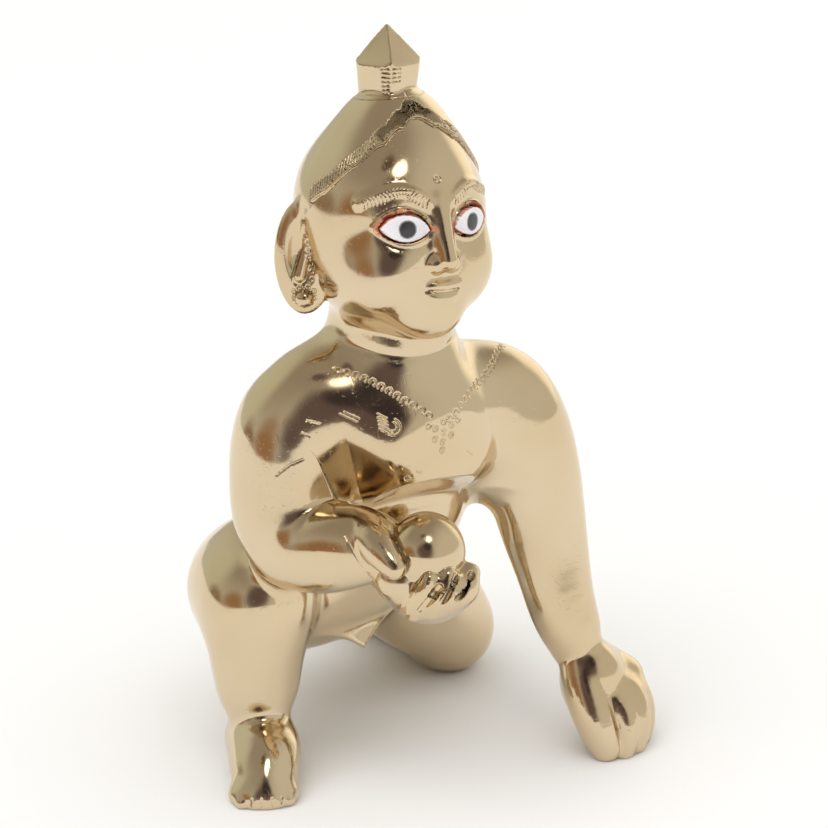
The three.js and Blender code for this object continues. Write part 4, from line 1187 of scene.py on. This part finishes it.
def fine_wear():
    """Shared group: rubbed scratches and small pits, from a place in metres."""
    group = bpy.data.node_groups.get("fine_wear")
    if group:
        return group
    group = bpy.data.node_groups.new("fine_wear", "ShaderNodeTree")
    group.interface.new_socket("Place", in_out="INPUT", socket_type="NodeSocketVector")
    group.interface.new_socket("Height", in_out="OUTPUT", socket_type="NodeSocketFloat")
    group.interface.new_socket("Rubbed", in_out="OUTPUT", socket_type="NodeSocketFloat")
    place = group.nodes.new("NodeGroupInput").outputs["Place"]
    output = group.nodes.new("NodeGroupOutput")
    along = vector_node(group, "MULTIPLY", "Vector", place, (260, 3200, 2400))
    across = vector_node(group, "MULTIPLY", "Vector", place, (2800, 420, 300))
    lines = math_node(group, "MINIMUM", noise_node(group, along, 1.0), noise_node(group, across, 1.0))
    scratches = ramp_node(group, lines, 0.27, 0.37)
    cells = group.nodes.new("ShaderNodeTexVoronoi")
    feed(group, cells.inputs["Vector"], place)
    feed(group, cells.inputs["Scale"], 420.0)
    pits = ramp_node(group, cells.outputs["Distance"], 0.05, 0.14)
    some = ramp_node(group, noise_node(group, place, 190.0), 0.5, 0.58)
    pits = math_node(group, "MAXIMUM", pits, some)
    group.links.new(math_node(group, "MULTIPLY", scratches, pits), output.inputs["Height"])
    group.links.new(noise_node(group, place, 95.0, 4.0), output.inputs["Rubbed"])
    return group


def wear_outputs(tree, place):
    node = tree.nodes.new("ShaderNodeGroup")
    node.node_tree = fine_wear()
    feed(tree, node.inputs["Place"], place)
    return node.outputs["Height"], node.outputs["Rubbed"]


def brass_material(settings):
    material, tree, shader = new_material("polished_brass")
    place = tree.nodes.new("ShaderNodeTexCoord").outputs["Object"]
    height, rubbed = wear_outputs(tree, place)
    recess = attribute_node(tree, "recess")
    paint = attribute_node(tree, "paint")
    tint = ramp_node(tree, noise_node(tree, place, 38.0, 3.0), 0.35, 0.7)
    metal = mix_node(tree, tint, settings.brass_color, settings.warm_color)
    # Painted shade darkens the creases; the scored marks and rubbed patches add dirt to it
    shade_and_dirt = math_node(tree, "ADD", recess, math_node(tree, "MULTIPLY", rubbed, 0.25))
    shade_and_grime = ramp_node(tree, shade_and_dirt, 0.45, 1.0)
    metal = mix_node(tree, math_node(tree, "MULTIPLY", shade_and_grime, settings.shade_and_grime), metal, settings.shade_and_dirt_color)
    patchy = math_node(tree, "MULTIPLY", paint, ramp_node(tree, noise_node(tree, place, 900.0), 0.36, 0.52))
    feed(tree, shader.inputs["Base Color"], mix_node(tree, patchy, metal, settings.paint_color))
    feed(tree, shader.inputs["Metallic"], math_node(tree, "SUBTRACT", 1.0, patchy))
    rough = ramp_node(tree, rubbed, 0.3, 0.75, settings.roughness, settings.roughness + 0.09)
    rough = math_node(tree, "ADD", rough, math_node(tree, "MULTIPLY", shade_and_grime, 0.3))
    rough = math_node(tree, "ADD", rough, math_node(tree, "MULTIPLY", patchy, 0.3))
    feed(tree, shader.inputs["Roughness"], rough)
    wavy = bump_node(tree, noise_node(tree, place, 140.0, 1.0), 1.0, settings.waviness)
    feed(tree, shader.inputs["Normal"], bump_node(tree, height, 0.35, 0.02 * MM, wavy))
    return material


def enamel_material(settings):
    """White enamel with the pupil and the painted corners, placed by its own map in millimetres."""
    material, tree, shader = new_material("painted_enamel")
    coordinates_node = tree.nodes.new("ShaderNodeTexCoord")
    height, rubbed = wear_outputs(tree, coordinates_node.outputs["Object"])
    eye_map = tree.nodes.new("ShaderNodeUVMap")
    eye_map.uv_map = EYE_MAP
    place = eye_map.outputs["UV"]
    from_pupil = vector_node(tree, "DISTANCE", "Value", place, (PUPIL_SHIFT, 0.15, 0))
    wobble = math_node(tree, "MULTIPLY", noise_node(tree, place, 1.3), 0.25)
    from_pupil = math_node(tree, "ADD", from_pupil, wobble)
    (upper_middle, upper), (lower_middle, lower) = almond_arcs()
    from_upper = vector_node(tree, "DISTANCE", "Value", place, (0, upper_middle, 0))
    from_lower = vector_node(tree, "DISTANCE", "Value", place, (0, lower_middle, 0))
    over = math_node(tree, "SUBTRACT", from_upper, upper)
    under = math_node(tree, "SUBTRACT", from_lower, lower)
    rim = math_node(tree, "MAXIMUM", over, under)
    rim = math_node(tree, "ADD", rim, math_node(tree, "MULTIPLY", noise_node(tree, place, 1.7), 0.3))
    white = mix_node(tree, ramp_node(tree, rubbed, 0.4, 0.7), settings.white, settings.shaded_white)
    patches = ramp_node(tree, noise_node(tree, place, 0.9), 0.36, 0.5)
    edge = math_node(tree, "MULTIPLY", ramp_node(tree, rim, 0.0, 0.2), patches)
    color = mix_node(tree, edge, white, settings.corner_color)
    ring = settings.pupil_radius / MM
    color = mix_node(tree, ramp_node(tree, from_pupil, ring + 0.22, ring + 0.12), color, settings.ring_color)
    color = mix_node(tree, ramp_node(tree, from_pupil, ring + 0.04, ring - 0.08), color, settings.pupil_color)
    feed(tree, shader.inputs["Base Color"], color)
    feed(tree, shader.inputs["Roughness"], ramp_node(tree, rubbed, 0.3, 0.8, 0.14, 0.3))
    feed(tree, shader.inputs["Coat Weight"], 0.4)
    feed(tree, shader.inputs["Normal"], bump_node(tree, height, 0.2, 0.02 * MM))
    return material


def length_setting(name, description, millimetres, least):
    """A length given in millimetres, with its least value."""
    return FloatProperty(
        name=name, description=description, default=millimetres * MM, min=least * MM, unit="LENGTH")


def color_setting(name, description, color):
    return FloatVectorProperty(
        name=name, description=description, default=color, subtype="COLOR", min=0, max=1)


def share_setting(name, description, share):
    return FloatProperty(name=name, description=description, default=share, min=0, max=1)


class CastingSettings(PropertyGroup):
    body_edge: length_setting("Body Edge", "Length of the mesh's edges on the plain body", 0.88, 0.3)
    carved_edge: length_setting("Carved Edge", "Shortest edge in creases and carving", 0.33, 0.1)
    mark_edge: length_setting("Mark Edge", "Shortest edge in punched and scored marks", 0.17, 0.05)
    wave_height: length_setting("Unevenness", "Height of the low waves left by the file", 0.045, 0)
    bend_degrees: FloatProperty(
        name="Bend", description="Turn of the surface along one edge, in degrees, that makes it shorter",
        default=9.0, min=1.0)
    brass_color: color_setting("Brass", "Colour of the polished metal", (0.70, 0.575, 0.395))
    warm_color: color_setting("Warm Brass", "Colour of the warmer patches of the metal", (0.66, 0.52, 0.335))
    # Shade painted into the creases and dirt in the marks share this colour, laid on by the share below
    shade_and_dirt_color: color_setting("Recesses", "Colour of the dirt in marks and creases", (0.16, 0.09, 0.035))
    paint_color: color_setting("Lid Paint", "Colour of the rubbed paint round the eyes", (0.55, 0.10, 0.03))
    shade_and_grime: share_setting("Grime", "Share of the dirt left in marks and creases", 0.6)
    roughness: share_setting("Roughness", "Roughness of the polished metal", 0.09)
    waviness: length_setting("Ripple", "Height of the polish's faint ripples", 0.12, 0)


class EnamelSettings(PropertyGroup):
    white: color_setting("White", "Colour of the eye's enamel", (0.86, 0.85, 0.88))
    shaded_white: color_setting("Shaded White", "Colour of the enamel's duller patches", (0.66, 0.66, 0.72))
    corner_color: color_setting("Corners", "Colour of the paint at the enamel's edge", (0.60, 0.13, 0.04))
    ring_color: color_setting("Ring", "Colour of the thin ring round the pupil", (0.24, 0.22, 0.24))
    pupil_color: color_setting("Pupil", "Colour of the pupil", (0.025, 0.025, 0.03))
    rim: length_setting("Rim", "Rounding of the enamel's edges", 0.12, 0.02)
    pupil_radius: length_setting("Pupil Radius", "Radius of the painted pupil", 1.35, 0.1)


class StageSettings(PropertyGroup):
    floor_color: color_setting("Floor", "Colour of the plain floor", (0.80, 0.81, 0.83))
    key_strength: FloatProperty(
        name="Key Light", description="Strength of the main light", default=1.6, min=0)


class KRISHNA_OT_cast_figure(Operator):
    """Casts the figure from its form, with the marks cut in it"""
    bl_idname = "krishna.cast_figure"
    bl_label = "Cast Figure"

    def execute(self, context):
        settings = context.scene.krishna_casting
        piece = copy_of_node("figure", "brass_casting")
        remesh(piece, settings.body_edge)
        split_edges(piece, np.zeros(len(piece.data.edges), dtype=bool))
        form = uneven(figure_form(), settings.wave_height / UNIT)
        p = laid_on(form, to_form(coordinates(piece.data)), steps=3)
        set_coordinates(piece.data, from_form(p))
        groups = figure_marks(form)
        refine(piece, form, groups, settings, passes=6)
        finish_surface(piece, with_marks(form, groups), groups)
        piece.data.materials.append(brass_material(settings))
        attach(piece, BODY)
        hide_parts("figure")
        return {"FINISHED"}


EYE_MAP = "eye_map"
PUPIL_SHIFT = -0.2  # towards the nose


def softened(piece, width):
    """Bevels the sharp edges of a piece and shades the rest smooth."""
    modifier = piece.modifiers.new("Soft rim", "BEVEL")
    modifier.width = width
    modifier.segments = 3
    modifier.limit_method = "ANGLE"
    modifier.angle_limit = math.radians(40)
    bpy.ops.object.modifier_apply(modifier=modifier.name)
    bpy.ops.object.shade_smooth_by_angle(angle=math.radians(50))


def map_eye(piece, side):
    """A map of the enamel in millimetres, x towards the eye's outer corner."""
    mesh = piece.data
    q = form_to_head(to_form(coordinates(mesh)))
    flat = in_eye_frame(q, side)[:, (0, 2)] * (side, 1)
    corners = np.empty(len(mesh.loops), dtype=np.int32)
    mesh.loops.foreach_get("vertex_index", corners)
    layer = mesh.uv_layers.new(name=EYE_MAP)
    layer.data.foreach_set("uv", flat[corners].astype(np.float32).ravel())


class KRISHNA_OT_set_eyes(Operator):
    """Sets the enamel in both eyes"""
    bl_idname = "krishna.set_eyes"
    bl_label = "Set Eyes"

    def execute(self, context):
        settings = context.scene.krishna_enamel
        material = enamel_material(settings)
        for node, side in (("left_eye", 1), ("right_eye", -1)):
            piece = copy_of_node(node, node.replace("eye", "enamel"))
            softened(piece, settings.rim)
            map_eye(piece, side)
            piece.data.materials.append(material)
            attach(piece, BODY)
            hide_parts(node)
        return {"FINISHED"}


# Stage
CAMERA_AZIMUTH = -33
CAMERA_ELEVATION = 20
CAMERA_DISTANCE = 380 * UNIT
CAMERA_TARGET = Vector(from_form(vector(0, 0, 48)))
CAMERA_LENS = 130.2


def direction(azimuth, elevation):
    a, e = math.radians(azimuth), math.radians(elevation)
    return Vector((math.sin(a) * math.cos(e), -math.cos(a) * math.cos(e), math.sin(e)))


def add_soft_sun(name, azimuth, elevation, spread, strength):
    """Even light from a wide part of the studio's ceiling."""
    back = direction(azimuth, elevation)
    bpy.ops.object.light_add(type="SUN", location=CAMERA_TARGET + back * CAMERA_DISTANCE)
    lamp = bpy.context.object
    lamp.name = name
    lamp.rotation_euler = back.to_track_quat("Z", "Y").to_euler()
    lamp.data.angle = math.radians(spread)
    lamp.data.energy = strength
    lamp.visible_glossy = False


Wall = namedtuple("Wall", "azimuth elevation core edge color")
ROOM_LOW = (0.56, 0.54, 0.48)
ROOM_HIGH = (0.38, 0.34, 0.29)
WALLS = (
    Wall(azimuth=49, elevation=8, core=22, edge=72, color=(0.72, 0.70, 0.63)),
    Wall(azimuth=119, elevation=8, core=12, edge=34, color=(1.35, 1.28, 1.1)),
    Wall(azimuth=-158, elevation=24, core=14, edge=44, color=(0.66, 0.68, 0.57)),
    Wall(azimuth=-82, elevation=4, core=8, edge=28, color=(0.36, 0.21, 0.11)),
    Wall(azimuth=-123, elevation=-2, core=6, edge=22, color=(0.30, 0.21, 0.13)),
    Wall(azimuth=-31, elevation=20, core=12, edge=32, color=(0.15, 0.11, 0.11)),
    Wall(azimuth=-20, elevation=36, core=5, edge=17, color=(0.05, 0.04, 0.045)),
    Wall(azimuth=-41, elevation=66, core=3, edge=9, color=(0.14, 0.10, 0.08)),
    Wall(azimuth=-10, elevation=56, core=5, edge=10, color=(4.2, 4.0, 3.6)),
)  # patches of the room the metal reflects, in degrees


def studio_world():
    world = bpy.data.worlds.new("studio")
    world.use_nodes = True
    tree = world.node_tree
    place = tree.nodes.new("ShaderNodeTexCoord").outputs["Generated"]
    axes = tree.nodes.new("ShaderNodeSeparateXYZ")
    feed(tree, axes.inputs["Vector"], place)
    color = mix_node(tree, ramp_node(tree, axes.outputs["Z"], 0.25, 0.85), ROOM_LOW, ROOM_HIGH)
    for wall in WALLS:
        toward = tuple(direction(wall.azimuth, wall.elevation))
        cosine = vector_node(tree, "DOT_PRODUCT", "Value", place, toward)
        edge, core = math.cos(math.radians(wall.edge)), math.cos(math.radians(wall.core))
        color = mix_node(tree, ramp_node(tree, cosine, edge, core), color, wall.color)
    feed(tree, tree.nodes["Background"].inputs["Color"], color)
    return world


class KRISHNA_OT_lay_stage(Operator):
    """Lays the pale floor and sets up the soft lights and the camera"""
    bl_idname = "krishna.lay_stage"
    bl_label = "Lay Stage"

    def execute(self, context):
        settings = context.scene.krishna_stage
        bpy.ops.mesh.primitive_plane_add(size=6)
        floor = context.object
        floor.name = "floor"
        material, tree, shader = new_material("pale_floor")
        feed(tree, shader.inputs["Base Color"], settings.floor_color)
        feed(tree, shader.inputs["Roughness"], 0.7)
        floor.data.materials.append(material)
        context.scene.world = studio_world()
        context.scene.view_settings.view_transform = "Standard"

        add_soft_sun("key_light", -75, 50, 60, settings.key_strength)
        add_soft_sun("ceiling_light", 40, 80, 100, settings.key_strength * 0.8)

        back = direction(CAMERA_AZIMUTH, CAMERA_ELEVATION)
        bpy.ops.object.camera_add(location=CAMERA_TARGET + back * CAMERA_DISTANCE)
        camera = context.object
        camera.name = "camera"
        camera.rotation_euler = back.to_track_quat("Z", "Y").to_euler()
        camera.data.lens = CAMERA_LENS
        camera.data.clip_start = 0.01
        context.scene.camera = camera
        return {"FINISHED"}


class KRISHNA_PT_sidebar(Panel):
    bl_label = "Krishna Figure"
    bl_idname = "KRISHNA_PT_sidebar"
    bl_space_type = "VIEW_3D"
    bl_region_type = "UI"
    bl_category = "Krishna"

    def draw(self, context):
        layout = self.layout
        for operator in OPERATORS:
            layout.operator(operator.bl_idname)


SETTINGS = {
    "krishna_casting": CastingSettings,
    "krishna_enamel": EnamelSettings,
    "krishna_stage": StageSettings,
}
OPERATORS = (KRISHNA_OT_cast_figure, KRISHNA_OT_set_eyes, KRISHNA_OT_lay_stage)
CLASSES = (*SETTINGS.values(), *OPERATORS, KRISHNA_PT_sidebar)


def register():
    for cls in CLASSES:
        bpy.utils.register_class(cls)
    for name, group in SETTINGS.items():
        setattr(bpy.types.Scene, name, PointerProperty(type=group))


def unregister():
    for name in SETTINGS:
        delattr(bpy.types.Scene, name)
    for cls in reversed(CLASSES):
        bpy.utils.unregister_class(cls)


def main():
    register()
    bpy.ops.object.select_all(action="DESELECT")
    bpy.ops.krishna.cast_figure()
    bpy.ops.krishna.set_eyes()
    bpy.ops.krishna.lay_stage()


if __name__ == "__main__":
    main()
